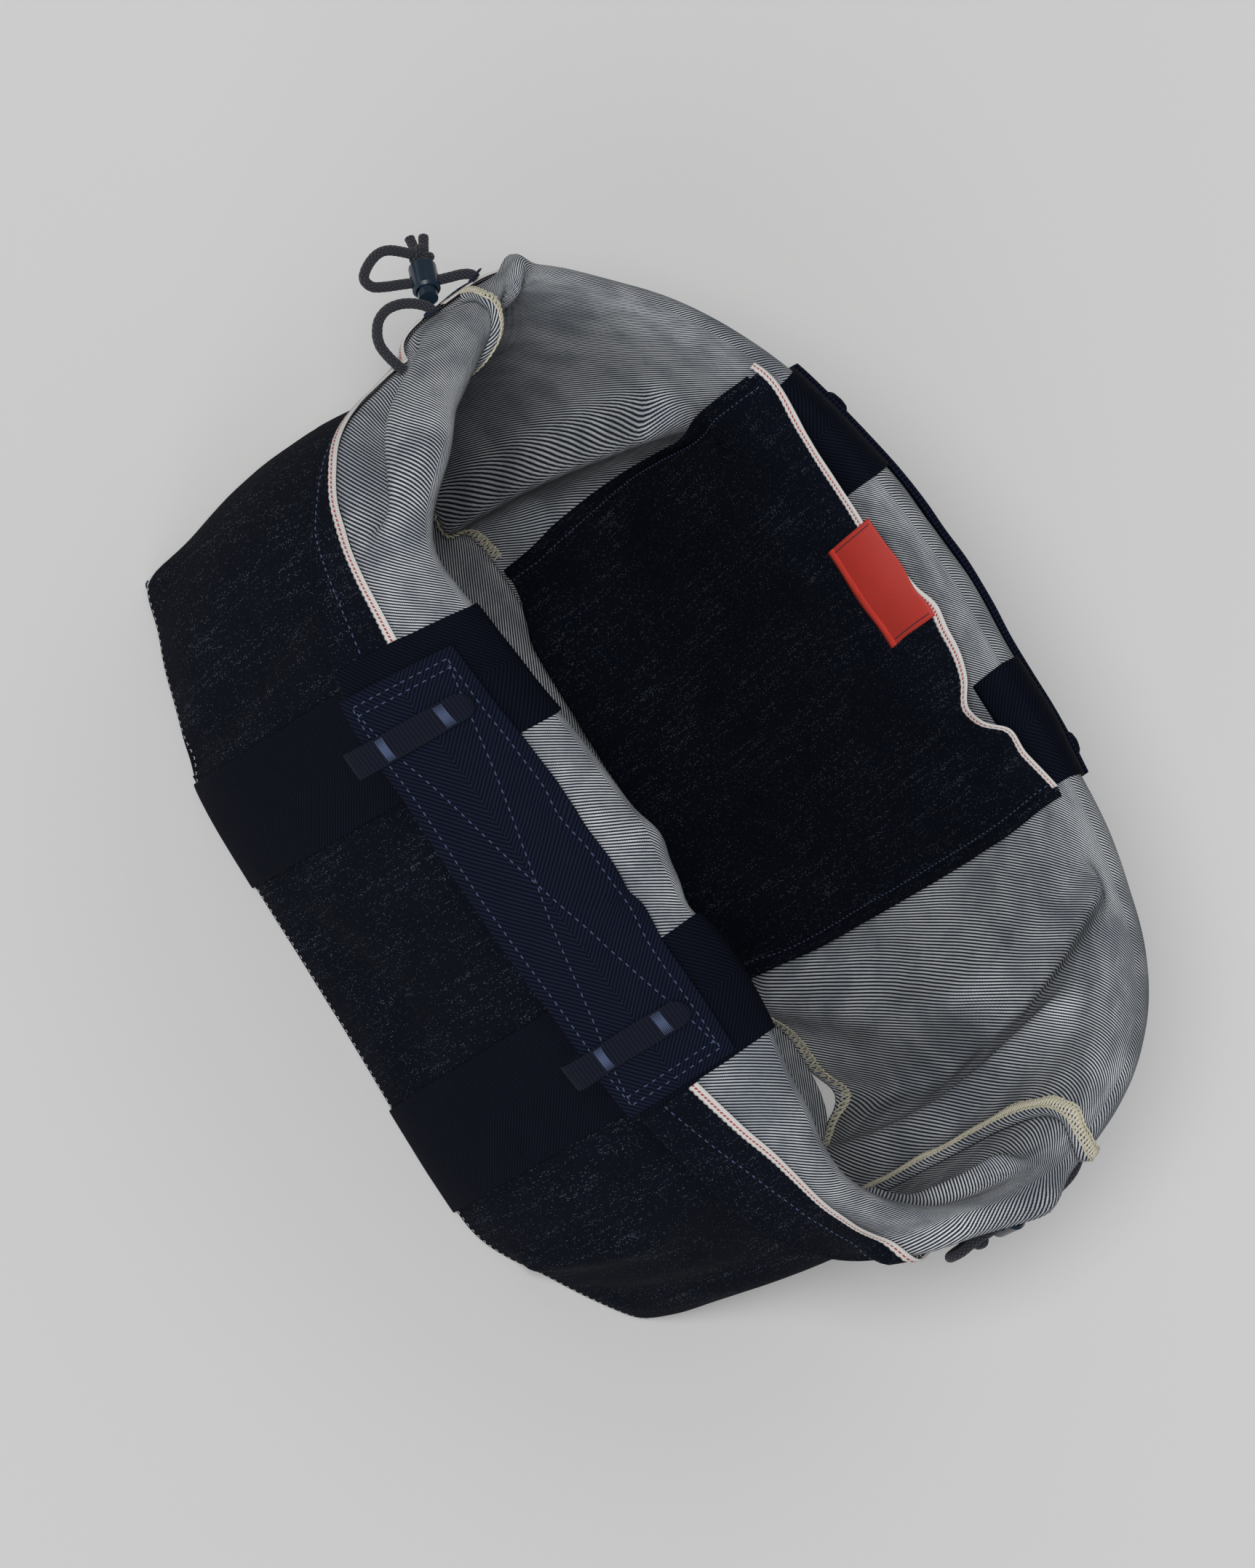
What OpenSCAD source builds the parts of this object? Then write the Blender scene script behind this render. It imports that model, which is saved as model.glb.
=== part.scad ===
// Open denim carry bag: a box-bottomed sack with two webbing bands round it, a short grab handle
// on each long side, an inside pocket and a drawcord with barrel locks in the hem of the rim.
// The bag stands on its base. X runs along the bag, -Y is the front, +Z is up. Millimetres.

/* [Base] */
// Half the length of the base
base_half_x = 169; // [160:1:175]
// Half the depth of the base
base_half_y = 89; // [84:1:92]
// Radius of the base's soft corners, seen from above
base_corner_r = 68; // [55:1:75]
// Thickness of the base panel
base_t = 1.6; // [1.2:0.1:2.2]

/* [Cloth] */
// Thickness of the wall cloth with its seams pressed flat
cloth_t = 1.6; // [1.2:0.1:1.8]
// Height of the crest above or below its drawn shape
rim_raise = 0; // [-4:1:4]
// How far the pocket bows away from the back wall
pocket_bow = 11; // [9:1:12]

/* [Webbing] */
// Thickness of one layer of the wide webbing
web_t = 1.6; // [1.2:0.1:1.8]
// Half the width of a wide band, as a share of one rim station
band_half = 0.65; // [0.6:0.01:0.68]
// Thickness of a doubled grab handle
handle_t = 3.0; // [2.4:0.1:3.2]
// How far an attachment loop stands out past the rim's outer fold
loop_out = 0.24; // [0.2:0.01:0.26]

/* [Drawcord] */
// Diameter of the drawcord
cord_d = 4; // [3.4:0.1:4.2]
// Outer radius of a lock's barrel
barrel_r = 5.3; // [5.2:0.1:5.8]
// Length of a lock's barrel
barrel_l = 14; // [13:0.5:15]
// Travel of a lock's plunger when it is pressed
press = 3.5; // [3:0.1:3.8]

/* [Hidden] */

denim = "#161b2b";
denim_inside = "#8d929b";
webbing = "#111827";
stitch_cream = "#d8d2ba";
selvedge_white = "#d9d6cf";
label_red = "#c0302a";
cord_grey = "#2a2b33";
lock_blue = "#1c3347";

gap = 0.3;
stations = 24;

// Crest of the rim, the highest line of the wall, one point per station round the bag from the
// middle of the front towards the right end.
crest_ring = [
    [0, -78, 212], [40, -77, 212], [80, -73, 209], [120, -70, 198], [158, -58, 180], [187, -20, 176],
    [193, 34, 192], [173, 70, 203], [142, 90, 211], [103, 98, 217], [62, 100, 221], [22, 100, 221],
    [-16, 101, 221], [-55, 98, 219], [-94, 92, 215], [-132, 79, 205], [-165, 60, 194], [-190, 30, 185],
    [-180, 4, 188], [-165, -26, 195], [-150, -62, 200], [-118, -88, 205], [-80, -87, 209], [-40, -82, 211]
];

// Outer fold of the rim, which has flopped outwards and down, at the same stations.
fold_ring = [
    [0, -122, 172], [41, -119, 172], [82, -115, 172], [124, -99, 163], [164, -72, 150], [189, -28, 138],
    [197, 36, 140], [184, 80, 150], [152, 108, 156], [110, 122, 158], [67, 128, 158], [24, 130, 158],
    [-17, 130, 158], [-58, 128, 158], [-99, 120, 158], [-139, 104, 158], [-170, 80, 154], [-197, 46, 150],
    [-198, 8, 148], [-190, -28, 150], [-170, -70, 156], [-126, -110, 164], [-84, -126, 171],
    [-42, -124, 172]
];

// Tangent lengths that shape the wall and the flopped rim.
wall_out = 70;
wall_up = 190;
crest_roll = 75;
fold_out = 0.55;
fold_down = 0.83;

straight_x = base_half_x - base_corner_r;
straight_y = base_half_y - base_corner_r;
quarter = PI * base_corner_r / 2;
girth = 4 * (straight_x + straight_y + quarter);

function wrap(k) = k - stations * floor(k / stations);
function unit(a) = a / norm(a);

// Point and outward direction on the base outline, a distance d from the middle of the front.
function front_side(d) = [[d, -base_half_y, 0], [0, -1, 0]];
function corner(cx, cy, start, d) =
    let (a = start + d / base_corner_r * 180 / PI)
    [[cx + base_corner_r * cos(a), cy + base_corner_r * sin(a), 0], [cos(a), sin(a), 0]];
function base_half_outline(d) =
    d < straight_x ? front_side(d)
    : d < straight_x + quarter ? corner(straight_x, -straight_y, -90, d - straight_x)
    : d < straight_x + quarter + 2 * straight_y
        ? [[base_half_x, d - straight_x - quarter - straight_y, 0], [1, 0, 0]]
    : d < straight_x + 2 * quarter + 2 * straight_y
        ? corner(straight_x, straight_y, 0, d - straight_x - quarter - 2 * straight_y)
    : [[girth / 2 - d, base_half_y, 0], [0, 1, 0]];
function base_at(k) =
    let (d = wrap(k) / stations * girth)
    d <= girth / 2 ? base_half_outline(d)
    : let (m = base_half_outline(girth - d))
      [[-m[0].x, m[0].y, 0], [-m[1].x, m[1].y, 0]];

// A closed smooth line through a ring's points.
function ring_at(ring, k) =
    let (
        w = wrap(k), i = floor(w), t = w - i,
        a = ring[(i + stations - 1) % stations], b = ring[i % stations],
        c = ring[(i + 1) % stations], d = ring[(i + 2) % stations]
    )
    0.5 * (2 * b + (c - a) * t + (2 * a - 5 * b + 4 * c - d) * t ^ 2 + (3 * b - a - 3 * c + d) * t ^ 3);
function hermite(a, b, ma, mb, t) =
    (2 * t ^ 3 - 3 * t ^ 2 + 1) * a + (t ^ 3 - 2 * t ^ 2 + t) * ma
    + (3 * t ^ 2 - 2 * t ^ 3) * b + (t ^ 3 - t ^ 2) * mb;

// The middle of the wall cloth: k is the station round the bag, v runs from 0 at the base to 1 at
// the crest and 2 at the outer fold, and on past the fold along a straight line.
function cloth(k, v) =
    let (
        foot = base_at(k), rise = [0, 0, rim_raise],
        crest = ring_at(crest_ring, k) + rise, fold = ring_at(fold_ring, k) + rise,
        flat = [fold.x - crest.x, fold.y - crest.y, 0], out = unit(flat), reach = norm(fold - crest),
        end_slope = (out * fold_out - [0, 0, fold_down]) * reach
    )
    v <= 1 ? hermite(foot[0], crest, foot[1] * wall_out + [0, 0, wall_up], out * crest_roll, v)
    : hermite(crest, fold, out * reach, end_slope, min(v - 1, 1)) + max(v - 2, 0) * end_slope;

// The cloth moved o along its outward normal. Negative o is the inside face.
step = 0.02;
function off(k, v, o) =
    let (
        across = cloth(k + step, v) - cloth(k - step, v),
        low = max(v - step, 0), along = cloth(k, low + 2 * step) - cloth(k, low)
    )
    cloth(k, v) + o * unit(cross(across, along));

// A closed solid that follows the cloth from station k0 to k1. Each row holds the share v and the
// offset of the solid's two faces. drift slides the piece sideways by that share of a station from
// the base to the crest, and bow lifts it off the wall like a pocket.
function slide(v, drift) = drift * min(v, 1);
function ribbon_point(k, v, o, drift, bow) = off(k + slide(v, drift), v, o - (bow ? bow_at(k, v) : 0));
module ribbon(k0, k1, rows, nk = 8, drift = 0, bow = false) {
    columns = nk + 1;
    last = len(rows) - 1;
    layer = columns * len(rows);
    points = [
        for (side = [0, 1]) for (row = rows) for (i = [0:nk])
            ribbon_point(k0 + (k1 - k0) * i / nk, row[side][0], row[side][1], drift, bow)
    ];
    function at(side, i, j) = side * layer + j * columns + i;
    function face(a, b, c, d) = [[a, b, c], [a, c, d]];
    quads = concat(
        [for (j = [0:last - 1]) for (i = [0:nk - 1])
            each face(at(0, i, j), at(0, i + 1, j), at(0, i + 1, j + 1), at(0, i, j + 1))],
        [for (j = [0:last - 1]) for (i = [0:nk - 1])
            each face(at(1, i, j), at(1, i, j + 1), at(1, i + 1, j + 1), at(1, i + 1, j))],
        [for (i = [0:nk - 1])
            each face(at(0, i, 0), at(1, i, 0), at(1, i + 1, 0), at(0, i + 1, 0))],
        [for (i = [0:nk - 1])
            each face(at(0, i, last), at(0, i + 1, last), at(1, i + 1, last), at(1, i, last))],
        [for (j = [0:last - 1])
            each face(at(0, 0, j), at(0, 0, j + 1), at(1, 0, j + 1), at(1, 0, j))],
        [for (j = [0:last - 1])
            each face(at(0, nk, j), at(1, nk, j), at(1, nk, j + 1), at(0, nk, j + 1))]
    );
    polyhedron(points, quads, convexity = 10);
}
function rows_between(v0, v1, o0, o1, n) =
    [for (j = [0:n]) let (v = v0 + (v1 - v0) * j / n) [[v, o0], [v, o1]]];
module sheet(k0, k1, v0, v1, o0, o1, nk = 8, nv = 8, drift = 0, bow = false) {
    ribbon(k0, k1, rows_between(v0, v1, o0, o1, nv), nk, drift, bow);
}

// Rows of a strap that comes up the inside face, turns round the rim's outer edge at v = turn and
// runs back along the outside. edge is the strap's thickness as a share v.
function folded_rows(v0, turn, edge, in0, in1, v1, out1, out0, n) =
    concat(
        rows_between(v0, turn - 2 * edge, in0, in1, n),
        [[[turn, in0], [turn - edge, in1]], [[turn, out0], [turn - edge, out1]]],
        [for (j = [0:n]) let (v = turn - 2 * edge + (v1 - turn + 2 * edge) * j / n) [[v, out0], [v, out1]]]
    );

// Stations where pieces begin and end.
seam_right = 6.5;
seam_left = 18;
seam_half = 0.03;
rim_front_half = 2.75;
back_mid = 12;
rim_back_half = 2.75;
rim_gap = 0.04;
rim_from = 1.09;
hem_from = 1.6;
selvedge_from = 1.57;

// Offsets of the layers on each face of the cloth.
skin = cloth_t / 2;
outer_web = skin + gap;
inner_web = -skin - gap;
hem_face = -skin - gap;
hem_t = 0.9;
hem_top = hem_face - hem_t;
rim_web_face = hem_top - gap;
rim_web_top = rim_web_face - web_t;
handle_face = rim_web_top - gap;
handle_top = handle_face - handle_t;
loop_t = 1.2;
loop_face = handle_top - gap;
loop_top = loop_face - loop_t;

// Webbing bands: their centre stations at the base and how far they lean in by the crest.
band_station = 1.92;
band_lean = 0.22;
band_in_from = 0.84;

// Handles.
handle_front = [-2.05, 2.25];
handle_back = [9.7, 14.3];
handle_from = 1.24;

// Loops.
loop_half = 0.125;
loop_from = 1.34;
front_loops = [-1.55, 1.7];
back_loops = [10.0, 13.8];

// Pocket.
pocket_right = 9.62;
pocket_left = 14.7;
pocket_foot = 0.03;
pocket_top = 0.9;
pocket_face = inner_web - web_t - gap;
pocket_t = 1.2;
function bow_at(k, v) =
    pocket_bow * sin(180 * (k - pocket_right) / (pocket_left - pocket_right))
    * sin(90 * (v - pocket_foot) / (pocket_top - pocket_foot));
label_k = [11.65, 12.82];
label_v = [0.775, 0.89];
label_face = pocket_face - pocket_t - gap;
label_t = 0.8;

// Base.
web_channel = 27;
band_base_x = 73;

module base_panel() {
    color(denim) difference() {
        linear_extrude(height = 2 * base_t)
            hull() for (x = [-1, 1]) for (y = [-1, 1])
                translate([x * straight_x, y * straight_y])
                    circle(r = base_corner_r - skin - gap, $fn = 96);
        for (x = [-band_base_x, band_base_x])
            translate([x - web_channel, -base_half_y, -1])
                cube([2 * web_channel, 2 * base_half_y, 1 + base_t + gap]);
    }
}

module base_webbing(x) {
    half = base_half_y - skin - 2 * gap;
    color(webbing) translate([x - 25.4, -half, 0]) cube([50.8, 2 * half, base_t]);
}
module webbing_base_left() { base_webbing(-band_base_x); }
module webbing_base_right() { base_webbing(band_base_x); }

module front_wall() {
    color(denim) sheet(seam_left - stations + seam_half, seam_right - seam_half, 0, 1, -skin, skin, 44, 14);
}
module back_wall() {
    color(denim) sheet(seam_right + seam_half, seam_left - seam_half, 0, 1, -skin, skin, 44, 14);
}

// The rim beyond the crest: the middle of each long side lifts with its handle, the ends stay.
module rim_part(k0, k1, n) {
    color(denim_inside) sheet(k0, k1, rim_from, 2, -skin, skin, n, 7);
}
module hem_part(k0, k1, n) {
    color(denim) sheet(k0, k1, hem_from, 2, hem_top, hem_face, n, 3);
}
module selvedge_part(k0, k1, n) {
    color(selvedge_white) sheet(k0, k1, selvedge_from - 0.04, hem_from - 0.01, hem_top, hem_face, n, 1);
}
module front_rim() { rim_part(-rim_front_half, rim_front_half, 22); }
module back_rim() { rim_part(back_mid - rim_back_half, back_mid + rim_back_half, 22); }
module front_hem() { hem_part(-rim_front_half, rim_front_half, 22); }
module back_hem() { hem_part(back_mid - rim_back_half, back_mid + rim_back_half, 22); }
module front_selvedge() { selvedge_part(-rim_front_half, rim_front_half, 22); }
module back_selvedge() { selvedge_part(back_mid - rim_back_half, back_mid + rim_back_half, 22); }

right_end_from = rim_front_half + rim_gap;
right_end_to = back_mid - rim_back_half - rim_gap;
left_end_from = back_mid + rim_back_half + rim_gap;
left_end_to = stations - rim_front_half - rim_gap;
module right_rim_end() {
    rim_part(right_end_from, right_end_to, 24);
    hem_part(right_end_from, right_end_to, 24);
}
module left_rim_end() {
    rim_part(left_end_from, left_end_to, 24);
    hem_part(left_end_from, left_end_to, 24);
}
module right_end_selvedge() { selvedge_part(right_end_from, right_end_to, 24); }
module left_end_selvedge() { selvedge_part(left_end_from, left_end_to, 24); }

// Overlocked seam allowances that stand out from the inside face along each end and the back foot.
fin = 7;
base_seam_t = 1.4;
base_seam_face = -skin - 3 * gap;
module end_seam(k) {
    color(stitch_cream)
        sheet(k - seam_half, k + seam_half, 0.06, 0.98, -skin - gap - fin, -skin - gap, 1, 14);
}
module left_end_seam() { end_seam(seam_left); }
module right_end_seam() { end_seam(seam_right); }
module back_base_seam() {
    color(stitch_cream)
        for (span = [[seam_right + 0.2, pocket_right - 0.2], [pocket_left + 0.2, seam_left - 0.5]])
            sheet(span[0], span[1], 0.02, 0.05, base_seam_face - base_seam_t, base_seam_face, 18, 1);
}

// A wide band on a wall: outside from the base to the crest, and inside a little way down again.
function lean(k) = (k > 0 && k < seam_right) || k > back_mid ? -band_lean : band_lean;
module wall_webbing(k) {
    color(webbing) {
        sheet(k - band_half, k + band_half, 0, 1, outer_web, outer_web + web_t, 4, 12, lean(k));
        sheet(k - band_half, k + band_half, band_in_from, 1, inner_web - web_t, inner_web, 4, 4, lean(k));
    }
}
module webbing_front_left() { wall_webbing(-band_station); }
module webbing_front_right() { wall_webbing(band_station); }
module webbing_back_right() { wall_webbing(back_mid - band_station); }
module webbing_back_left() { wall_webbing(back_mid + band_station); }

// The same band on the rim: one piece over the inside face, round the outer fold and back.
band_turn = 2.04;
band_edge = 0.027;
module rim_webbing(k) {
    rows = folded_rows(
        rim_from, band_turn, band_edge, rim_web_top, rim_web_face,
        rim_from, outer_web, outer_web + web_t, 6
    );
    color(webbing) ribbon(k - band_half, k + band_half, rows, 4, lean(k));
}
module rim_webbing_front_left() { rim_webbing(-band_station); }
module rim_webbing_front_right() { rim_webbing(band_station); }
module rim_webbing_back_right() { rim_webbing(back_mid - band_station); }
module rim_webbing_back_left() { rim_webbing(back_mid + band_station); }

module handle(span) {
    color(webbing) sheet(span[0], span[1], handle_from, 2, handle_top, handle_face, 20, 5);
}
module front_handle() { handle(handle_front); }
module back_handle() { handle(handle_back); }

// A narrow loop: it lies across the handle and folds back under the rim's outer edge.
loop_edge = 0.02;
loop_back = outer_web + web_t + gap;
loop_back_to = 1.8;
module strap_loop(k) {
    rows = folded_rows(
        loop_from, 2 + loop_out, loop_edge, loop_top, loop_face,
        loop_back_to, loop_back, loop_back + loop_t, 6
    );
    color(webbing) ribbon(k - loop_half, k + loop_half, rows, 1);
}
module front_loop_left() { strap_loop(front_loops[0]); }
module front_loop_right() { strap_loop(front_loops[1]); }
module back_loop_right() { strap_loop(back_loops[0]); }
module back_loop_left() { strap_loop(back_loops[1]); }

module pocket_panel() {
    color(denim)
        sheet(pocket_right, pocket_left, pocket_foot, pocket_top,
              pocket_face - pocket_t, pocket_face, 20, 14, bow = true);
}
module pocket_selvedge() {
    color(selvedge_white)
        sheet(pocket_right, pocket_left, pocket_top + 0.002, pocket_top + 0.015,
              pocket_face - pocket_t, pocket_face, 20, 1, bow = true);
}
module label() {
    color(label_red)
        sheet(label_k[0], label_k[1], label_v[0], label_v[1],
              label_face - label_t, label_face, 6, 3, bow = true);
}
module label_stitching() {
    color("#e8281e")
        sheet(label_k[0], label_k[1], label_v[0] - 0.012, label_v[0] - 0.002,
              label_face - label_t, label_face, 6, 1, bow = true);
}

// Locks. Each frame's +Z runs along the barrel, away from the cloth, and the cord crosses along X.
left_lock_at = [-208.2, 14.6, 153.6];
left_lock_turn = [0, 110, 142];
left_lock_roll = 60;
right_lock_at = [206, 34, 133];
right_lock_turn = [0, 180, 0];
right_lock_roll = 90;
module at_left_lock() {
    translate(left_lock_at) rotate(left_lock_turn) rotate([0, 0, left_lock_roll]) children();
}
module at_right_lock() {
    translate(right_lock_at) rotate(right_lock_turn) rotate([0, 0, right_lock_roll]) children();
}

barrel_back = 5.2;
barrel_chamfer = 1;
barrel_crown = 1.4;
cord_hole_r = 2.5;
plunger_r = 3.7;
cavity_r = 4;
cavity_end = 6.8;
spring_r = 2.6;
spring_wire = 0.7;
spring_gap = 0.1;
spring_coils = [0.8, 2.6];
plunger_from = -barrel_back - press - 0.4;
plunger_to = 3;
barrel_outline = [
    [0, 0], [barrel_r - barrel_chamfer, 0], [barrel_r, barrel_chamfer], [barrel_r, barrel_l - 2],
    [barrel_r - barrel_crown, barrel_l], [0, barrel_l]
];
module lock_barrel() {
    color(lock_blue) difference() {
        translate([0, 0, -barrel_back]) rotate_extrude($fn = 48) polygon(barrel_outline);
        translate([0, 0, -barrel_back - 1])
            cylinder(r = cavity_r, h = barrel_back + 1 + cavity_end, $fn = 48);
        rotate([0, 90, 0]) cylinder(r = cord_hole_r, h = 3 * barrel_r, center = true, $fn = 32);
    }
}
module lock_plunger() {
    slot = 2 * cord_hole_r + press - gap;
    color(lock_blue) difference() {
        translate([0, 0, plunger_from]) cylinder(r = plunger_r, h = plunger_to - plunger_from, $fn = 48);
        translate([-2 * plunger_r, -cord_hole_r, -slot / 2 - press / 2])
            cube([4 * plunger_r, 2 * cord_hole_r, slot]);
    }
}
module lock_spring() {
    color("#a8adb2") translate([0, 0, plunger_to + spring_gap])
        for (z = spring_coils)
            translate([0, 0, z])
                rotate_extrude($fn = 48) translate([spring_r, 0]) circle(r = spring_wire, $fn = 16);
}
module left_lock_barrel() { at_left_lock() lock_barrel(); }
module left_lock_plunger() { at_left_lock() lock_plunger(); }
module left_lock_spring() { at_left_lock() lock_spring(); }
module right_lock_barrel() { at_right_lock() lock_barrel(); }
module right_lock_plunger() { at_right_lock() lock_plunger(); }
module right_lock_spring() { at_right_lock() lock_spring(); }

// Cords: a smooth tube through a route's points.
left_route = [
    [-199.3, 29.7, 161.8], [-201.8, 28.6, 161.5], [-203.6, 25.8, 160], [-204.8, 22.2, 158.1],
    [-206.2, 18.5, 156], [-208.2, 14.6, 153.6], [-210.2, 10.7, 151.2], [-212, 6.8, 149.4],
    [-214, 2, 147.6], [-216.5, -2.6, 146.6], [-220.5, -4, 147], [-224, 0, 148], [-226, 6, 149],
    [-225, 12, 149], [-220.4, 19.9, 148.3]
];
left_return_route = [
    [-195.2, 3.2, 162.7], [-197.4, 2.7, 163.1], [-199.8, 1, 162.6], [-202.5, -2, 161.2],
    [-204.5, -6, 159.5], [-205, -11, 158], [-203, -16, 157], [-199, -19.5, 156.5], [-195.5, -21, 156.5],
    [-192.4, -21.2, 156.6]
];
right_route = [
    [192.2, 61.2, 156.8], [194.6, 61.9, 156.9], [198, 61.8, 155.8], [201.5, 60.5, 153],
    [204.5, 58, 148.5], [206.5, 54, 142.5], [206.8, 49.5, 137.5], [206, 45, 134.5], [206, 40, 133],
    [206, 34, 133], [206, 28, 133], [206, 23, 132], [206, 18, 129], [207, 14, 124], [207, 13, 118],
    [207, 16, 114], [207, 21, 112], [207, 27.6, 113.1]
];
cord_sides = 8;
function smooth_at(p, i, t) =
    let (
        last = len(p) - 1, a = p[max(i - 1, 0)], b = p[i], c = p[min(i + 1, last)], d = p[min(i + 2, last)]
    )
    0.5 * (2 * b + (c - a) * t + (2 * a - 5 * b + 4 * c - d) * t ^ 2 + (3 * b - a - 3 * c + d) * t ^ 3);
function smooth(p) = [for (i = [0:len(p) - 2]) for (t = [0, 0.5]) smooth_at(p, i, t), p[len(p) - 1]];
function side_at(p, i, before) =
    let (
        last = len(p) - 1, along = unit(p[min(i + 1, last)] - p[max(i - 1, 0)]),
        side = unit(before - along * (along * before))
    )
    [along, side];
function frames(p, i, before) =
    i == len(p) ? []
    : let (f = side_at(p, i, before)) concat([f], frames(p, i + 1, f[1]));
module cord(route) {
    line = smooth(route);
    frame = frames(line, 0, [0.3, 0.2, 1]);
    n = len(line);
    points = [
        for (i = [0:n - 1]) for (s = [0:cord_sides - 1])
            let (a = 360 * s / cord_sides, side = frame[i][1], other = cross(frame[i][0], side))
            line[i] + cord_d / 2 * (cos(a) * side + sin(a) * other)
    ];
    function on(i, s) = i * cord_sides + s % cord_sides;
    rings = [
        for (i = [0:n - 2]) for (s = [0:cord_sides - 1])
            each [[on(i, s), on(i + 1, s), on(i + 1, s + 1)], [on(i, s), on(i + 1, s + 1), on(i, s + 1)]]
    ];
    start = [for (s = [0:cord_sides - 1]) s];
    end = [for (s = [cord_sides - 1:-1:0]) on(n - 1, s)];
    color(cord_grey) polyhedron(points, concat(rings, [start, end]), convexity = 8);
}
module left_drawcord() { cord(left_route); }
module left_return_cord() { cord(left_return_route); }
module right_drawcord() { cord(right_route); }

// Knots, each a ball of cord with its cut tails beside each other.
knot_r = 5;
tail_l = 11;
module knot(at, turn) {
    color(cord_grey) translate(at) rotate(turn) {
        sphere(r = knot_r, $fn = 32);
        for (y = [-1.5, 1.5]) translate([0, y, 0]) cylinder(r = cord_d / 2, h = tail_l, $fn = 24);
    }
}
module left_cord_knot() { knot([-218, 24, 147.5], left_lock_turn); }
module right_cord_knot() { knot([207, 32.5, 114], right_lock_turn); }

// Eyelets where the cord leaves its channel.
eyelet_r = 3.6;
eyelet_t = 0.8;
module eyelet(k, v) {
    at = off(k, v, hem_top - gap - eyelet_t);
    out = unit(off(k, v, hem_top - gap - 1) - off(k, v, hem_top - gap));
    color(cord_grey) translate(at) rotate([0, acos(out.z), atan2(out.y, out.x)]) difference() {
        cylinder(r = eyelet_r, h = eyelet_t, $fn = 32);
        translate([0, 0, -1]) cylinder(r = cord_hole_r, h = eyelet_t + 2, $fn = 32);
    }
}
module left_eyelet() { eyelet(17.35, 1.7); }
module left_return_eyelet() { eyelet(18.1, 1.7); }
module right_eyelet() { eyelet(6.55, 1.8); }

base_panel();
front_wall();
back_wall();
left_rim_end();
right_rim_end();
left_end_seam();
right_end_seam();
back_base_seam();
front_rim();
back_rim();
front_hem();
back_hem();
front_selvedge();
back_selvedge();
left_end_selvedge();
right_end_selvedge();
webbing_front_left();
webbing_front_right();
webbing_back_left();
webbing_back_right();
webbing_base_left();
webbing_base_right();
rim_webbing_front_left();
rim_webbing_front_right();
rim_webbing_back_left();
rim_webbing_back_right();
front_handle();
back_handle();
front_loop_left();
front_loop_right();
back_loop_left();
back_loop_right();
pocket_panel();
pocket_selvedge();
label();
label_stitching();
left_eyelet();
left_return_eyelet();
right_eyelet();
left_drawcord();
left_return_cord();
right_drawcord();
left_cord_knot();
right_cord_knot();
left_lock_barrel();
left_lock_plunger();
left_lock_spring();
right_lock_barrel();
right_lock_plunger();
right_lock_spring();
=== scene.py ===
"""Open denim carry bag with webbing bands, grab handles, an inside pocket and a drawcord rim.

Lengths in this script are millimetres in the part's frame until a mesh is made. The bag's cloth is
described by two numbers: k, the station round the bag (24 of them, from the middle of the front
towards the right end), and v, which runs from 0 at the base to 1 at the crest and 2 at the rim's
outer fold. Every layer is placed at an offset o along the cloth's outward normal.
"""

import bpy
import numpy as np
from mathutils import Matrix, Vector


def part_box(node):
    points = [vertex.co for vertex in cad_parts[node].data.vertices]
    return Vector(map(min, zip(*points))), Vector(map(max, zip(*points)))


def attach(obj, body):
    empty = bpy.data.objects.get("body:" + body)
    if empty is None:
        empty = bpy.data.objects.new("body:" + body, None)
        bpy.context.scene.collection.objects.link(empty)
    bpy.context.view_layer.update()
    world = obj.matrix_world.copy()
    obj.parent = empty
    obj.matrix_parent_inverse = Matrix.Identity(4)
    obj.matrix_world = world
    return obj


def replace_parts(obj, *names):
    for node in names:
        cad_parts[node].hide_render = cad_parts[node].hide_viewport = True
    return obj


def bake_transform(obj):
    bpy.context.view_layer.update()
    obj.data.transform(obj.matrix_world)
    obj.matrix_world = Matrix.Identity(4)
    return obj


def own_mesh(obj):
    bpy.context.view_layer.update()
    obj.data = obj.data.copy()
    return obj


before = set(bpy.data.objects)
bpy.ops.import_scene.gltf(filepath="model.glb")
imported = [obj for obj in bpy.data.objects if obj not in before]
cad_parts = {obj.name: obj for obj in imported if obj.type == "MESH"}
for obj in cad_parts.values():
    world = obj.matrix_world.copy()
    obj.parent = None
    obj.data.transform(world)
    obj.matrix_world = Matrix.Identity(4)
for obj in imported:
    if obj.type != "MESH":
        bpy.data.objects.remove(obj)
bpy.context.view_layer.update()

MM = 0.001
STATIONS = 24
STATION_MM = 42.0  # one station along the rim
WALL_MM = 205.0  # v from 0 to 1
COLLAR_MM = 58.0  # v from 1 to 2


# ---------------------------------------------------------------- camera and light
def look(target, elevation, roll, distance, lens):
    """A camera that looks along +Y and down by elevation, rolled round its own axis."""
    e, r = np.radians(elevation), np.radians(roll)
    across, up_page = np.array([1, 0, 0.0]), np.array([0, np.sin(e), np.cos(e)])
    back = np.array([0, -np.cos(e), np.sin(e)])
    right = np.cos(r) * across + np.sin(r) * up_page
    up = -np.sin(r) * across + np.cos(r) * up_page
    data = bpy.data.cameras.new("camera")
    data.lens, data.sensor_width, data.clip_end = lens, 36, 20
    cam = bpy.data.objects.new("camera", data)
    place = np.array(target) + distance * back
    rows = [[*row, p] for row, p in zip(np.stack([right, up, back], 1), place)]
    cam.matrix_world = Matrix(rows + [[0, 0, 0, 1]])
    bpy.context.scene.collection.objects.link(cam)
    bpy.context.scene.camera = cam


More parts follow.
